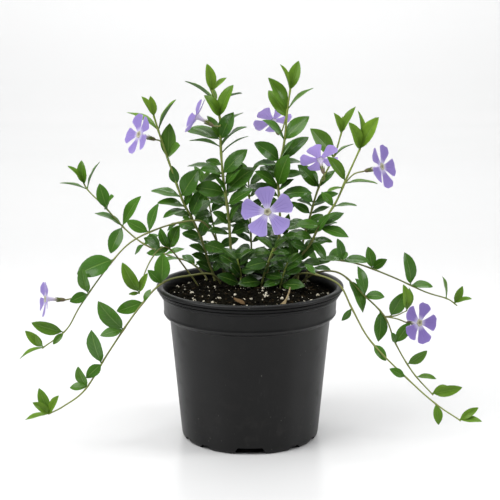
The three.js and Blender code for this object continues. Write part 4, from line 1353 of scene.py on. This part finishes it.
def finish_petal():
    """Violet in coats: clouds, rim, star, lines and seams, then the back, the tube and the eye."""
    material, bench, shader = finish_named(
        "petal", Roughness=0.62, Specular_IOR_Level=0.32, Sheen_Weight=0.22, Sheen_Roughness=0.4,
        Emission_Strength=0.25)
    out = reading(bench, "reach")
    side = reading(bench, "across")
    # On a petal, tint holds its flower's painted shade.
    depth = reading(bench, "tint")
    below = reading(bench, "under")
    tube = reading(bench, "tube")
    eye = reading(bench, "eye")
    clouds = grain(bench, 4.0)
    fine = grain(bench, 0.45, seed=4.0)

    def by_painted_shade(part=""):
        return bench.blend(depth, VIOLETS["pale" + part], VIOLETS["deep" + part])

    strands = ((side * 21 + (clouds - 0.5) * 2.5).cos()).step(0.2, 1.0)
    star = (1 - out.step(0.05, 0.33)) * (0.5 + 0.5 * strands)
    fade = (1 - out.step(0.35, 0.95)) * out.step(0.02, 0.12)
    lines = ((side * 14 + (clouds - 0.5)).cos()).step(0.70, 1.0) * fade
    seam = side.size().step(0.82, 0.99) * (1 - 0.6 * out.step(0.12, 0.5))
    tube_colour = bench.blend(tube.step(0.35, 0.9), VIOLETS["tube_foot"], VIOLETS["tube_mouth"])
    eye_colour = bench.blend(eye.step(0.2, 0.95), VIOLETS["throat"], VIOLETS["eye"])
    violet = bench.layers(
        by_painted_shade(),
        ((clouds - 0.35) * 0.9, by_painted_shade("_cloud")),
        (out.step(0.80, 1.0) * 0.35, by_painted_shade("_rim")),
        (star * 0.8, VIOLETS["star"]),
        (lines * 0.45, VIOLETS["line"]),
        (seam * 0.7, VIOLETS["seam"]),
        # The backs: paler in their own colour, and brighter still as painted light coming through the thin
        # petal.
        (below, bench.layers(by_painted_shade("_back"), (lines * 0.3, VIOLETS["back_line"]))),
        (tube.step(0.01, 0.02), tube_colour),
        (eye.step(0.01, 0.02), eye_colour),
    )
    relief = fine * 0.3 - lines * 0.7 + clouds * 0.4
    dress(bench, shader, violet, relief=relief, strength=0.5, deep_mm=0.2)
    # Painted light: the backs glow faintly through Emission, standing in for light coming through the thin
    # petals.
    shine_through = bench.blend(below, (0, 0, 0), VIOLETS["shine"])
    plug(bench.tree, shader.inputs["Emission Color"], shine_through)
    return material


petal_finish = finish_petal()
tell_finish(petal_finish)

# %% [markdown]
# ## The corollas
#
# A corolla is a slim tube that opens into five lopsided petals, like the blades of a windmill. Each petal
# is a thin closed sheet whose two edges and far rim follow smooth tables, so all eight flowers share
# one shape at their own size, turn and tilt. Mesh code suits it, because every row is a rule.

# %% The petal's tables
PETAL_EDGES = ((-36, -29.5, -27, -27, -27.5, -26), (36, 30, 27.5, 27.5, 28.5, 28.5))
# How deep each flower's violet is, set flower by flower as painted shade.
BLOOM_PAINTED_SHADE = {
    "bloom_front": 0.05, "bloom_left_top": 0.65, "bloom_middle_left_top": 0.8,
    "bloom_middle_right_top": 0.1, "bloom_right_back": 0.25, "bloom_right_top": 0.85,
    "bloom_left_low": 0.8, "bloom_right_low": 0.95,
}
MOUTH = 2.5
HALF_PETAL = 36
ROUND_CORNERS = 0.115
UNEVEN_RIM = 0.012
DISH = 0.1
SLANT = 0.0012
CREASE = 0.25
RUFFLE = 0.022


def eased(table, share):
    """A value between those of a table, on a smooth curve through them."""
    return along([(value, 0, 0) for value in table], share * (len(table) - 1)).x


def petal_place(radius, out, side):
    """Radius and angle on one petal: out is 0 at the mouth and 1 at the rim, side is -1 to 1."""
    angle = (eased(PETAL_EDGES[0], out) * (1 - side) + eased(PETAL_EDGES[1], out) * (1 + side)) / 2
    mouth = MOUTH * math.cos(HALF_PETAL * RAD) / math.cos(HALF_PETAL * side * RAD)
    uneven = UNEVEN_RIM * side + UNEVEN_RIM * math.cos(side * 9)
    rim = radius * (1.0 - ROUND_CORNERS * abs(side) ** 5 - uneven)
    return mouth + (rim - mouth) * out, angle


def petal_lift(radius, r, angle, out, side, phase):
    """How high a petal stands there: a dish and a slant, less a crease along it, with a ruffle."""
    part = r / radius
    lift = radius * (DISH * part * part + SLANT * angle * part)
    crease = CREASE * math.exp(-((side / 0.2) ** 2)) * math.sin(math.pi * out)
    ruffle = RUFFLE * radius * out**2 * math.sin(side * 3.1 + phase)
    return lift - crease + ruffle


far_rim = [petal_place(BLOOMS["bloom_front"]["radius"], 1, side)[1] for side in (-1, 1)]
print("a petal's far rim spans", round(far_rim[1] - far_rim[0], 1), "degrees")

# %% One corolla
ROWS = 9
COLUMNS = 8
PETAL_THICK = 0.34
PETAL_THINNING = 0.2
FLOWER_SEED = 91


def corolla(bloom, depth):
    """The points of a corolla, what each one knows, and the faces of its two skins."""
    points, notes, faces, under_faces = [], [], [], []

    def add_point(radius, angle, height, **note):
        points.append(bloom_point(bloom, radius, angle, height))
        notes.append({"tint": depth, "reach": 0.0, "across": 0.0, **note})
        return len(points) - 1

    draw = draws_from(FLOWER_SEED + int(bloom["turn"] * 10) + int(bloom["radius"] * 100))
    for k in range(5):
        middle = bloom["turn"] + 72 * k + 3 * (draw() - 0.5)
        phase = 6.28 * draw()
        size = bloom["radius"] * (0.965 + 0.05 * draw())
        upper, lower = [], []
        for i in range(ROWS + 1):
            out = (i / ROWS) ** 1.15
            rows = ([], [])
            for j in range(COLUMNS + 1):
                side = math.sin(math.pi / 2 * (2 * j / COLUMNS - 1))
                r, angle = petal_place(size, out, side)
                lift = petal_lift(size, r, angle, out, side, phase)
                note = {"reach": out, "across": side}
                top = add_point(r, middle + angle, lift + 0.02, **note)
                rows[0].append(top)
                edge = abs(side) > 0.999 or i == ROWS
                thick = PETAL_THICK - PETAL_THINNING * out
                rows[1].append(top if edge else add_point(r, middle + angle, lift - thick, **note))
            upper.append(rows[0])
            lower.append(rows[1])
        for skin, store in ((upper, faces), (lower, under_faces)):
            for here, there in zip(skin, skin[1:]):
                for j in range(COLUMNS):
                    face = (here[j], here[j + 1], there[j + 1], there[j])
                    store.append(face[::-1] if skin is upper else face)
        under_faces.append((*upper[0], *reversed(lower[0][1:-1])))
    tube_rings(bloom, add_point, faces)
    return points, notes, faces, under_faces


print("a petal has", ROWS * COLUMNS, "faces above")

# %% The tube and the throat
TUBE_SIDES = 20
# The radius, the height and the tone of each ring.
OUTSIDE = [(0.75, -9.0, 0.2), (0.9, -8.4, 0.3), (1.0, -6.0, 0.6), (1.3, -3.5, 0.9), (1.9, -1.4, 1.0),
           (2.35, -0.45, 1.0)]
INSIDE = [(2.62, 0.05, 1.0), (2.35, 0.42, 1.0), (1.8, 0.36, 0.9), (1.3, 0.16, 0.7), (0.85, -0.12, 0.4),
          (0.4, -0.3, 0.2)]
FIVE_SIDED_FROM = 1.2
FLATTENING = 0.20


def tube_rings(bloom, add_point, faces):
    """The tube outside, its mouth, and the throat inside, as one closed skin of five-sided rings."""
    rings = []
    turn = 360 // TUBE_SIDES
    for i, (radius, height, tone) in enumerate(OUTSIDE + INSIDE):
        name = "tube" if i < len(OUTSIDE) else "eye"
        flat = FLATTENING if radius > FIVE_SIDED_FROM else 0.0
        ring = []
        for k in range(TUBE_SIDES):
            round_off = 1 - flat * (0.5 - 0.5 * math.cos(5 * turn * k * RAD))
            angle = bloom["turn"] - HALF_PETAL + turn * k
            ring.append(add_point(radius * round_off, angle, height, **{name: tone}))
        rings.append(ring)
    for here, there in zip(rings, rings[1:]):
        for k in range(TUBE_SIDES):
            n = (k + 1) % TUBE_SIDES
            faces.append((here[k], here[n], there[n], there[k]))
    faces.append(tuple(reversed(rings[0])))
    faces.append(tuple(rings[-1]))


print("the tube and the throat have", len(OUTSIDE), "and", len(INSIDE), "rings")

# %% Build the eight corollas
bloom_triangles = 0
for name, bloom in BLOOMS.items():
    points, notes, faces, under_faces = corolla(bloom, BLOOM_PAINTED_SHADE[name])
    piece = new_object(name + "_fine", [p * MM for p in points], [], faces + under_faces)
    write_notes(piece.data, notes)
    mark_under(piece.data, len(faces), len(under_faces))
    smooth(piece.data, 75)
    piece.data.materials.append(petal_finish)
    bloom_triangles += triangles_in(piece.data)
    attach(piece, "root")
    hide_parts(name)
print(len(BLOOMS), "corollas,", bloom_triangles, "triangles")

# %% [markdown]
# ## The pot's finish
#
# The pot is thin black plastic, blown or moulded, with a satin skin. It is never quite black: dust and
# dried splashes of compost make it greyer in places, and handling leaves dull scuffs. So the colour,
# the roughness and the bump all come from noise of different sizes, and the dust gathers near the foot.
# Under the foot the plastic is duller, as painted shade, so that the notches stay dark.

# %% Pot finish
DUST_ZONE = 45


def finish_pot():
    """Black in coats: clouds, dust, scuffs and specks."""
    material, bench, shader = finish_named("black_plastic", Specular_IOR_Level=0.27)
    foot = 1 - (bench.axis("Z") * 1000).step(0, DUST_ZONE)
    clouds = grain(bench, 30, detail=4.0)
    fine = grain(bench, 0.7, detail=2.0, seed=2.0)
    dust = grain(bench, 9, detail=6.0, seed=6.0).step(0.50, 0.78)
    spots = grain(bench, 1.9, detail=1.0, seed=12.0)
    specks = (spots + 0.03 * foot).step(0.765, 0.785) * clouds.step(0.5, 0.62).most(foot * 0.8)
    where = bench.add("ShaderNodeTexCoord", out="Object")
    stretched = bench.add("ShaderNodeMapping", sockets={"Vector": where, "Scale": (1, 1, 0.18)})
    scratch = bench.add("ShaderNodeTexNoise", sockets={"Vector": stretched, "Scale": 900, "Detail": 3.0})
    scuffs = scratch.step(0.60, 0.70) * clouds.step(0.45, 0.65)
    black = bench.layers(
        bench.blend(clouds, (0.0014, 0.0014, 0.0015), (0.0034, 0.0034, 0.0035)),
        (dust * (0.04 + 0.09 * foot), (0.10, 0.095, 0.085)),
        (scuffs * 0.08, (0.09, 0.09, 0.09)),
        (specks * 0.45, (0.15, 0.14, 0.12)),
    )
    rough = 0.33 + 0.08 * clouds + 0.14 * dust + 0.12 * scuffs
    relief = fine * 0.35 + clouds * 2.0 + specks * 1.2
    dress(bench, shader, black, rough, relief, strength=0.5, deep_mm=0.18)
    return material


def finish_shaded_underside():
    """The same plastic under the foot, made dull as painted shade so that the notches stay dark."""
    material, bench, shader = finish_named("painted_shade_underside", Specular_IOR_Level=0.04)
    clouds = grain(bench, 6, detail=4.0, seed=3.0)
    black = bench.blend(clouds, (0.0010, 0.0010, 0.0010), (0.0060, 0.0055, 0.0048))
    dress(bench, shader, black, 0.70 + 0.2 * clouds)
    return material


pot_finish = finish_pot()
shaded_underside_finish = finish_shaded_underside()
tell_finish(pot_finish)
tell_finish(shaded_underside_finish)

# %% [markdown]
# ## The pot
#
# A pot is a turned shape: one outline of wall and lip, carried round the axis. The plain solid has
# 28 flat sides. This one has 180, with the same outline, and rounder edges at the lip. The notches in the
# foot ring and the drain holes are cut out afterwards by a Boolean, as a mould's cores would leave them.

# %% The pot's outline, outside from the base up and inside down again
LIP = 60
NECK = 51.6
HEEL = 44.6
COLLAR = 55.5
FOOT = 42.8
WALL = 1.4
BASE = 4.6
TAPER_FROM = 4
TAPER_HEIGHT = 75


def body_radius(z):
    """The wall leans out evenly from the heel to the neck."""
    return HEEL + (NECK - HEEL) * (z - TAPER_FROM) / TAPER_HEIGHT


OUTLINE = [
    (0, BASE), (FOOT - 3.6, BASE), (FOOT - 3.3, BASE - 0.4), (FOOT - 3.2, 0.4), (FOOT - 2.9, 0),
    (FOOT - 0.3, 0), (FOOT + 0.4, 0.25), (FOOT + 1.2, 1.2), (FOOT + 1.6, 2.6), (HEEL - 0.1, 3.6),
    (body_radius(4.6), 4.6), (body_radius(20), 20), (body_radius(40), 40), (body_radius(60), 60),
    (NECK - 0.05, 78.2), (NECK + 0.1, 78.8), (NECK + 0.7, 79.3), (NECK + 2.1, 79.95), (NECK + 3.0, 80.7),
    (COLLAR - 0.55, 81.5), (COLLAR - 0.1, 81.9), (COLLAR, 82.35), (COLLAR - 0.25, 82.85),
    (COLLAR - 0.2, 84), (COLLAR + 0.15, 91.6),
    (COLLAR + 0.3, 92.5), (COLLAR + 0.9, 92.8), (COLLAR + 1.5, 93.2), (COLLAR + 1.6, 93.6),
    (COLLAR + 1.6, 94.3), (COLLAR + 0.9, 94.5), (COLLAR + 0.9, 94.95), (COLLAR + 2.6, 95.2),
    (COLLAR + 2.95, 95.5), (COLLAR + 2.95, 96.6), (COLLAR + 2.1, 96.85), (COLLAR + 2.1, 97.4),
    (LIP - 0.6, 97.65), (LIP - 0.1, 98.0), (LIP, 98.5), (LIP, 98.9), (LIP - 0.15, 99.35), (LIP - 0.6, 99.8),
    (LIP - 1.3, 100), (LIP - 2.6, 100), (LIP - 3.3, 99.8), (LIP - 4.4, 98.9),
    (COLLAR - WALL + 0.3, 95.4), (COLLAR - WALL, 93.6), (COLLAR - WALL, 83.6),
    (COLLAR - WALL - 0.3, 82.9), (NECK - WALL + 0.4, 79.8), (NECK - WALL, 78.8),
    (body_radius(44) - WALL, 44), (HEEL - WALL, BASE + WALL + 0.6), (HEEL - WALL - 0.8, BASE + WALL),
    (0, BASE + WALL),
]
print("pot outline:", len(OUTLINE), "points,", max(r for r, z in OUTLINE), "mm out at the lip")


def turned_shape(outline, sides):
    """Points and faces of an outline carried round the Z axis. It starts and ends on the axis."""
    turns = [2 * math.pi * k / sides for k in range(sides)]
    points = [(0, 0, outline[0][1])]
    for r, z in outline[1:-1]:
        points += [(r * math.cos(a), r * math.sin(a), z) for a in turns]
    points.append((0, 0, outline[-1][1]))
    faces = []
    rings = len(outline) - 2
    for k in range(sides):
        n = (k + 1) % sides
        faces.append((0, 1 + n, 1 + k))
        for i in range(rings - 1):
            low, high = 1 + i * sides, 1 + (i + 1) * sides
            faces.append((low + k, low + n, high + n, high + k))
        top = 1 + (rings - 1) * sides
        faces.append((top + k, top + n, len(points) - 1))
    return points, faces


# %% The cutters for notches and drain holes
NOTCH_SPLAY = 2.2
NOTCH_TAPER = 0.6
NOTCH_REACH = 6
DRAIN_RADIUS = 3.5
DRAIN_SIDES = 28
WIDE_NOTCH = (17, 4.5)
SMALL_NOTCH = (6.5, 2.6)
BESIDE_WIDE = (-65, -40, 40, 65)


def notch_bar(angle, width, height):
    """A bar across the foot ring, wider at the floor than at its top."""
    half = width / 2
    foot, top = half + NOTCH_SPLAY, half - NOTCH_TAPER
    shape = [(-foot, -1), (foot, -1), (top, height), (-top, height)]
    turn = Matrix.Rotation(angle * RAD, 3, "Z")
    points = [turn @ Vector((x, -FOOT + y, z)) for y in (-NOTCH_REACH, NOTCH_REACH) for x, z in shape]
    faces = [(0, 1, 2, 3), (7, 6, 5, 4)] + [(i, i + 4, (i + 1) % 4 + 4, (i + 1) % 4) for i in range(4)]
    return points, faces


def drain_pin(out, angle):
    """A round pin through the base plate."""
    middle = Matrix.Rotation(angle * RAD, 3, "Z") @ Vector((out, 0, 0))
    sides = DRAIN_SIDES
    turns = [2 * math.pi * k / sides for k in range(sides)]
    ring = [Vector((DRAIN_RADIUS * math.cos(a), DRAIN_RADIUS * math.sin(a), 0)) for a in turns]
    points = [middle + p + Vector((0, 0, z)) for z in (BASE - 5, BASE + 5) for p in ring]
    faces = [tuple(reversed(range(sides))), tuple(range(sides, 2 * sides))]
    faces += [(k, (k + 1) % sides, (k + 1) % sides + sides, k + sides) for k in range(sides)]
    return points, faces


cutters = [notch_bar(middle, *WIDE_NOTCH) for middle in (0, 180)]
cutters += [notch_bar(middle + turn, *SMALL_NOTCH) for middle in (0, 180) for turn in BESIDE_WIDE]
cutters += [drain_pin(0, 0)] + [drain_pin(26, angle) for angle in (45, 135, 225, 315)]
cut_points, cut_faces = [], []
for points, faces in cutters:
    cut_faces += [tuple(len(cut_points) + i for i in face) for face in faces]
    cut_points += points
print(len(cutters), "cutters for notches and drain holes")

# %% Turn the pot and cut it
POT_SIDES = 180

pot_points, pot_faces = turned_shape(OUTLINE, POT_SIDES)
pot = new_object("pot_fine", [Vector(p) * MM for p in pot_points], [], pot_faces)
tool = new_object("pot_cutters", [Vector(p) * MM for p in cut_points], [], cut_faces)
cut = pot.modifiers.new("cut", "BOOLEAN")
cut.operation = "DIFFERENCE"
cut.solver = "EXACT"
cut.object = tool
cut_mesh = bpy.data.meshes.new_from_object(pot.evaluated_get(bpy.context.evaluated_depsgraph_get()))
pot.modifiers.clear()
pot.data = cut_mesh
bpy.data.objects.remove(tool)
smooth(pot.data, 40)
pot.data.materials.clear()
pot.data.materials.append(pot_finish)
pot.data.materials.append(shaded_underside_finish)
# The faces under the foot get the painted shade finish.
for face in pot.data.polygons:
    middle = face.center / MM
    if middle.z < BASE + 0.1 and math.hypot(middle.x, middle.y) < FOOT + 0.5:
        face.material_index = 1
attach(pot, "root")
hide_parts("pot")
print("pot:", len(pot.data.polygons), "faces")

# %% [markdown]
# ## The compost
#
# The pot is full of dark peaty compost with white perlite grains and shreds of bark. The mound itself is
# a polar grid with the lumps of the plain solid and smaller ones from noise. Loose grains are scattered
# on its top by one small tree, used three times with other grains, numbers and sizes.

# %% Compost and grain finishes
# The dark and the light colour, the roughness, and the size of the blots and the relief in millimetres.
EARTHS = {
    "compost": ((0.0006, 0.0005, 0.0003), (0.0062, 0.0052, 0.0027), 0.85, 3.0, 0.6),
    "crumbs": ((0.0010, 0.0009, 0.0005), (0.0110, 0.0092, 0.0046), 0.82, 1.2, 0.2),
    "bark": ((0.010, 0.0065, 0.003), (0.050, 0.034, 0.016), 0.75, 1.5, 0.25),
    "perlite": ((0.36, 0.32, 0.23), (0.74, 0.70, 0.58), 0.88, 0.9, 0.15),
    "dry_stalk": ((0.20, 0.15, 0.075), (0.36, 0.29, 0.17), 0.65, 1.4, 0.1),
    "dead_leaf": ((0.060, 0.036, 0.016), (0.14, 0.088, 0.042), 0.70, 2.4, 0.2),
}


def finish_earth(name, dark, light, rough, size_mm, relief_mm):
    """Dull and blotched, with darker pits."""
    material, bench, shader = finish_named(name, Specular_IOR_Level=0.05)
    blots = grain(bench, size_mm, detail=5.0)
    fine = grain(bench, size_mm / 6, detail=3.0, seed=7.0)
    pits = (fine.step(0.55, 0.8) * 0.5, tuple(0.4 * part for part in dark))
    earth = bench.layers(bench.blend(blots.step(0.35, 0.68), dark, light), pits)
    relief = blots + fine * 0.6
    dress(bench, shader, earth, rough + 0.12 * fine, relief, strength=0.8, deep_mm=relief_mm)
    return material


earths = {name: finish_earth(name, *looks) for name, looks in EARTHS.items()}
print("earthy finishes:", ", ".join(earths))

# %% The mound
SOIL_GAP = 0.525
SOIL_RADIUS = COLLAR - WALL - SOIL_GAP
SOIL_RINGS = 46
SOIL_SIDES = 120


def fine_soil_height(x, y):
    """The mound with smaller lumps, which are calmer near the pot's wall."""
    r = math.hypot(x, y)
    low = noise.noise(Vector((x * 0.22, y * 0.22, 1.7)))
    high = noise.noise(Vector((x * 0.75, y * 0.75, 8.1)))
    calm = min(1.0, (SOIL_RADIUS - r) / 4 + 0.35)
    return soil_height(x, y) + calm * (1.1 * low + 0.55 * high)


def soil_mesh():
    """The fill inside the pot: its side, and its top in rings of finer height."""
    side = [(HEEL - WALL - 0.7, BASE + WALL + 0.35), (NECK - WALL - SOIL_GAP, 79.0), (SOIL_RADIUS, 83.85)]
    outline = [(0, side[0][1]), *side]
    outline += [(SOIL_RADIUS * (1 - i / SOIL_RINGS), 0) for i in range(SOIL_RINGS)]
    outline.append((0, 0))
    points, faces = turned_shape(outline, SOIL_SIDES)
    top = 1 + len(side) * SOIL_SIDES
    points = points[:top] + [(x, y, fine_soil_height(x, y)) for x, y, _ in points[top:]]
    return points, faces


soil_points, soil_faces = soil_mesh()
soil = new_object("soil_mound", [Vector(p) * MM for p in soil_points], [], soil_faces)
smooth(soil.data)
soil.data.materials.append(earths["compost"])
print("compost mound:", len(soil.data.polygons), "faces")


# %% One grain, and the tree that scatters it
STONE_SHARES = (0.72, 0.5)
LOOKS_UP = 0.3
TILT = 0.6


def lump(name, sizes, faces_seed, finish):
    """A small uneven stone of twenty faces."""
    builder = bmesh.new()
    bmesh.ops.create_icosphere(builder, subdivisions=1, radius=1)
    draw = draws_from(faces_seed)
    for corner in builder.verts:
        corner.co *= chosen(STONE_SHARES, draw)
        corner.co = [part * size for part, size in zip(corner.co, sizes)]
    mesh = bpy.data.meshes.new(name)
    builder.to_mesh(mesh)
    builder.free()
    mesh.materials.append(finish)
    return put(name, mesh)


def scatter_tree():
    """Grains on all faces that look up, many small ones and few large ones."""
    tree, bench, ports, result = new_tree("scatter", {
        "Grain": "Object", "Density": "Float", "Seed": "Int", "Smallest": "Float", "Largest": "Float",
        "Flat": "Float", "Finish": "Material"})
    facing = bench.axis("Z", bench.add("GeometryNodeInputNormal"))
    spread = {"Mesh": ports["Plan"], "Selection": facing.above(LOOKS_UP), "Density": ports["Density"],
              "Seed": ports["Seed"]}
    spread = bench.add("GeometryNodeDistributePointsOnFaces", sockets=spread, out=None)
    spins = {0: (-TILT, -TILT, 0.0), 1: (TILT, TILT, 6.28), "Seed": ports["Seed"]}
    spin = bench.add("FunctionNodeRandomValue", {"data_type": "FLOAT_VECTOR"}, spins)
    loose = 1 - ports["Flat"]
    tilt = bench.add("ShaderNodeCombineXYZ", sockets={"X": loose, "Y": loose, "Z": 1.0})
    chances = {2: 0.0, 3: 1.0, "Seed": ports["Seed"]}
    chance = bench.add("FunctionNodeRandomValue", {"data_type": "FLOAT"}, chances, out=1)
    size = ports["Smallest"] + (ports["Largest"] - ports["Smallest"]) * chance**3
    stone = bench.add("GeometryNodeObjectInfo", sockets={"Object": ports["Grain"]}, out="Geometry")
    sockets = {"Points": Wire(tree, spread.outputs["Points"]), "Instance": stone,
               "Rotation": spin * tilt, "Scale": size * MM}
    grains = bench.add("GeometryNodeInstanceOnPoints", sockets=sockets)
    plug(tree, result, finished(bench, made_real(bench, grains), ports["Finish"]))
    return tree


scatter = scatter_tree()
print("scatter tree:", len(scatter.nodes), "nodes")

# %% Three kinds of grain
# The three sides, how many to the square metre, the seed, the least and greatest size, and the flatness.
GRAINS = {
    "crumbs": ((1, 0.9, 0.8), 230000, 5, 0.45, 1.5, 0.0),
    "bark": ((2.6, 0.8, 0.35), 34000, 9, 0.5, 1.5, 0.7),
    "perlite": ((1, 0.95, 0.85), 26000, 21, 0.35, 1.5, 0.0),
}
STONE_FACES = 20

grain_pieces = []
for name, (sizes, density, seed, smallest, largest, flat) in GRAINS.items():
    stone = lump(name + "_grain", sizes, seed, earths[name])
    ground = put(name + "_loose", soil.data.copy())
    values = {"Grain": stone, "Density": float(density), "Seed": seed, "Smallest": smallest,
              "Largest": largest, "Flat": flat, "Finish": earths[name]}
    grain_pieces.append(grow(ground, scatter, **values))
    bpy.data.objects.remove(stone)
    print(name, len(grain_pieces[-1].data.polygons) // STONE_FACES)


# %% [markdown]
# Two larger bits lie on the compost: a pale dry stalk with a small bulb, and a curled dead leaf.

# %% A rod and a curled leaf
ROD_STEPS = 6
ROD_SIDES = 8
CURL_ROWS = 9
CURL_LANES = 5
CURL_THICK = 0.3
CURL_WIDTH = 0.22
CURL_RISE = 2.2
CURL_CUP = 0.35


def bent_rod(name, route, girths, finish):
    """A rod through a route of points in millimetres, thick as the girths say."""
    points = route_points(route, ROD_STEPS)
    last = len(points) - 1
    line = new_object(name, points, [(i, i + 1) for i in range(last)], [])
    write_notes(line.data, [{"girth": eased(girths, i / last), "age": 1.0} for i in range(last + 1)])
    return grow(line, leafy_stem, Sides=ROD_SIDES, **{"Stem finish": finish})


def curled_leaf(name, place, length, turn, finish):
    """A dead leaf as a closed thin sheet, curled along its length."""
    points, faces = [], []
    lanes, skin = CURL_LANES, CURL_ROWS * CURL_LANES
    for lift in (CURL_THICK, -CURL_THICK):
        for i in range(CURL_ROWS):
            for j in range(lanes):
                s, v = i / (CURL_ROWS - 1), j / 2 - 1
                x = v * CURL_WIDTH * length * max(0.08, half_width(min(0.97, s)))
                z = 0.9 + CURL_RISE * s * s + CURL_CUP * x * x / 3 + lift * (1 if abs(v) < 1 else 0.4)
                spot = Matrix.Rotation(turn * RAD, 3, "Z") @ Vector((x, s * length, z))
                points.append(spot + Vector(place))
    for i in range(CURL_ROWS - 1):
        for j in range(lanes - 1):
            a = lanes * i + j
            face = (a, a + 1, a + lanes + 1, a + lanes)
            faces += [face, tuple(skin + corner for corner in (face[0], *reversed(face[1:])))]
    rim = [j for j in range(lanes)] + [lanes * i + lanes - 1 for i in range(1, CURL_ROWS)]
    rim += [skin - lanes + j for j in range(lanes - 2, -1, -1)]
    rim += [lanes * i for i in range(CURL_ROWS - 2, 0, -1)]
    for a, b in zip(rim, rim[1:] + rim[:1]):
        faces.append((a, a + skin, b + skin, b))
    leaf = new_object(name, [p * MM for p in points], [], faces)
    smooth(leaf.data)
    leaf.data.materials.append(finish)
    return leaf


def on_soil(x, y, above=0.0):
    return (x, y, fine_soil_height(x, y) + above)


STALK_ROUTE = [on_soil(20, -40, 0.8), on_soil(22, -36, 3.2), on_soil(24, -31, 6.5), on_soil(25, -27, 9.5)]
STALK_GIRTHS = [1.9, 0.75, 0.55, 0.5]

stalk = bent_rod("dry_stalk", STALK_ROUTE, STALK_GIRTHS, earths["dry_stalk"])
dead_leaf = curled_leaf("dead_leaf", on_soil(-3, -39, 0.2), 11, 40, earths["dead_leaf"])
print("litter:", triangles_in(stalk.data) + triangles_in(dead_leaf.data), "triangles")

# %% The compost made one piece
litter = [*grain_pieces, stalk, dead_leaf]
with bpy.context.temp_override(active_object=soil, selected_editable_objects=[soil, *litter]):
    bpy.ops.object.join()
keep_only(soil.data, set())
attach(soil, "root")
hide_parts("soil")
print("compost:", len(soil.data.polygons), "faces, materials", [m.name for m in soil.data.materials if m])

# %% [markdown]
# ## Floor, light and camera
#
# The photograph shows a pale table under soft light from the upper left. A wide floor sheet that curves
# up far behind gives the plain ground. Its white is graded from front to back, so that the ground reads
# even under the lamps, and just below the pot it carries a painted shadow, which only the notches let one
# see. The world is an even soft white, a big lamp at the left makes the long highlight on the pot, and
# weaker ones stand at the right and above. The camera looks down 12 degrees from 0.9 m, through a long
# lens, as the photograph's perspective says.

# %% Floor and backdrop
BEND_FROM = 1.6
BEND_RADIUS = 0.8
HALF_SPREAD = 5


def grey(light):
    return (light, light, light)


def finish_floor():
    """White in zones: near the pot, behind it, before the bend and up the back, and a painted shadow below
    the pot.
    """
    material, bench, shader = finish_named("white_table", Specular_IOR_Level=0.4)
    cloud = grain(bench, 300)
    across, depth, high = [bench.axis(name) for name in "XYZ"]
    from_pot = (across * across + depth * depth).root() * 1000
    white = bench.layers(
        bench.blend(cloud, grey(0.735), grey(0.75)),
        (depth.step(-0.05, 0.65), grey(0.56)),
        (depth.step(1.2, 1.7), grey(0.63)),
        (high.step(0.0, 0.35), grey(0.75)),
        # Painted shadow: dark just below the pot, where the notches let one see the floor.
        (1 - from_pot.step(38, 43), grey(0.05)),
    )
    dress(bench, shader, white, 0.20 + 0.1 * cloud)
    return material


def sweep_sheet():
    """A flat floor that bends up into a wall behind."""
    profile = [(-4.0, 0), (BEND_FROM, 0)]
    for angle in range(10, 91, 10):
        out, up = math.sin(angle * RAD), math.cos(angle * RAD)
        profile.append((BEND_FROM + BEND_RADIUS * out, BEND_RADIUS - BEND_RADIUS * up))
    profile.append((BEND_FROM + BEND_RADIUS, 4.0))
    points = [(x, y, z) for y, z in profile for x in (-HALF_SPREAD, HALF_SPREAD)]
    faces = [(2 * i, 2 * i + 1, 2 * i + 3, 2 * i + 2) for i in range(len(profile) - 1)]
    floor = new_object("floor_sweep", points, [], faces)
    smooth(floor.data)
    floor.data.materials.append(finish_floor())
    return floor


floor = sweep_sheet()
floor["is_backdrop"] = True
print("floor:", len(floor.data.polygons), "faces")

# %% Lamps
# The place, the aim, the size and the watts.
LAMPS = {
    "left_softbox": ((-0.95, -0.55, 1.05), (0, 0, 0.1), (0.9, 1.1), 16),
    "right_softbox": ((1.2, -0.2, 0.8), (0, 0, 0.1), (0.5, 0.9), 8),
    "top_softbox": ((-0.1, -0.1, 1.6), (0, 0, 0.1), (1.2, 1.2), 11),
    "backdrop_lamp": ((0, 0.9, 1.6), (0, 2.2, 0.3), (2.0, 0.5), 33),
}
WORLD_WHITE = (0.98, 0.99, 1.0, 1)
WORLD_STRENGTH = 0.36

for name, (place, aim, size, watts) in LAMPS.items():
    light = bpy.data.lights.new(name, "AREA")
    light.shape = "RECTANGLE"
    light.size, light.size_y = size
    light.energy = watts
    lamp = put(name, light)
    lamp.location = place
    lamp.rotation_euler = (Vector(aim) - Vector(place)).to_track_quat("-Z", "Y").to_euler()
world = bpy.data.worlds.new("soft_white")
world.use_nodes = True
background = world.node_tree.nodes["Background"]
background.inputs["Color"].default_value = WORLD_WHITE
background.inputs["Strength"].default_value = WORLD_STRENGTH
bpy.context.scene.world = world
bpy.context.scene.view_settings.view_transform = "Standard"
print(len(LAMPS), "lamps and a soft world")

# %% Camera
PHOTO_SIDE = 500
FOCAL_PIXELS = 1441
SENSOR = 36
CAMERA_PLACE = (0, -0.9, 0.3148)
LOOKS_DOWN = 0.211

view = bpy.data.cameras.new("photo_view")
view.sensor_width = SENSOR
view.lens = SENSOR * FOCAL_PIXELS / PHOTO_SIDE
view.clip_end = 20
camera = put("photo_view", view)
camera.location = CAMERA_PLACE
camera.rotation_euler = (math.pi / 2 - LOOKS_DOWN, 0, 0)
bpy.context.scene.camera = camera
print("lens", round(view.lens, 2), "mm, looking down", round(LOOKS_DOWN / RAD, 1), "degrees")

# %% [markdown]
# ## Sizes, and done
#
# The fine pieces have to stay in the room that the solids take, so both boxes are measured and gathered.

# %% Measure and finish
fine_low, fine_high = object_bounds()
sizes = {"cad_low": list(frame_low), "cad_high": list(frame_high),
         "fine_low": list(fine_low), "fine_high": list(fine_high)}
print("fine", [round(side, 4) for side in fine_high - fine_low], "m")
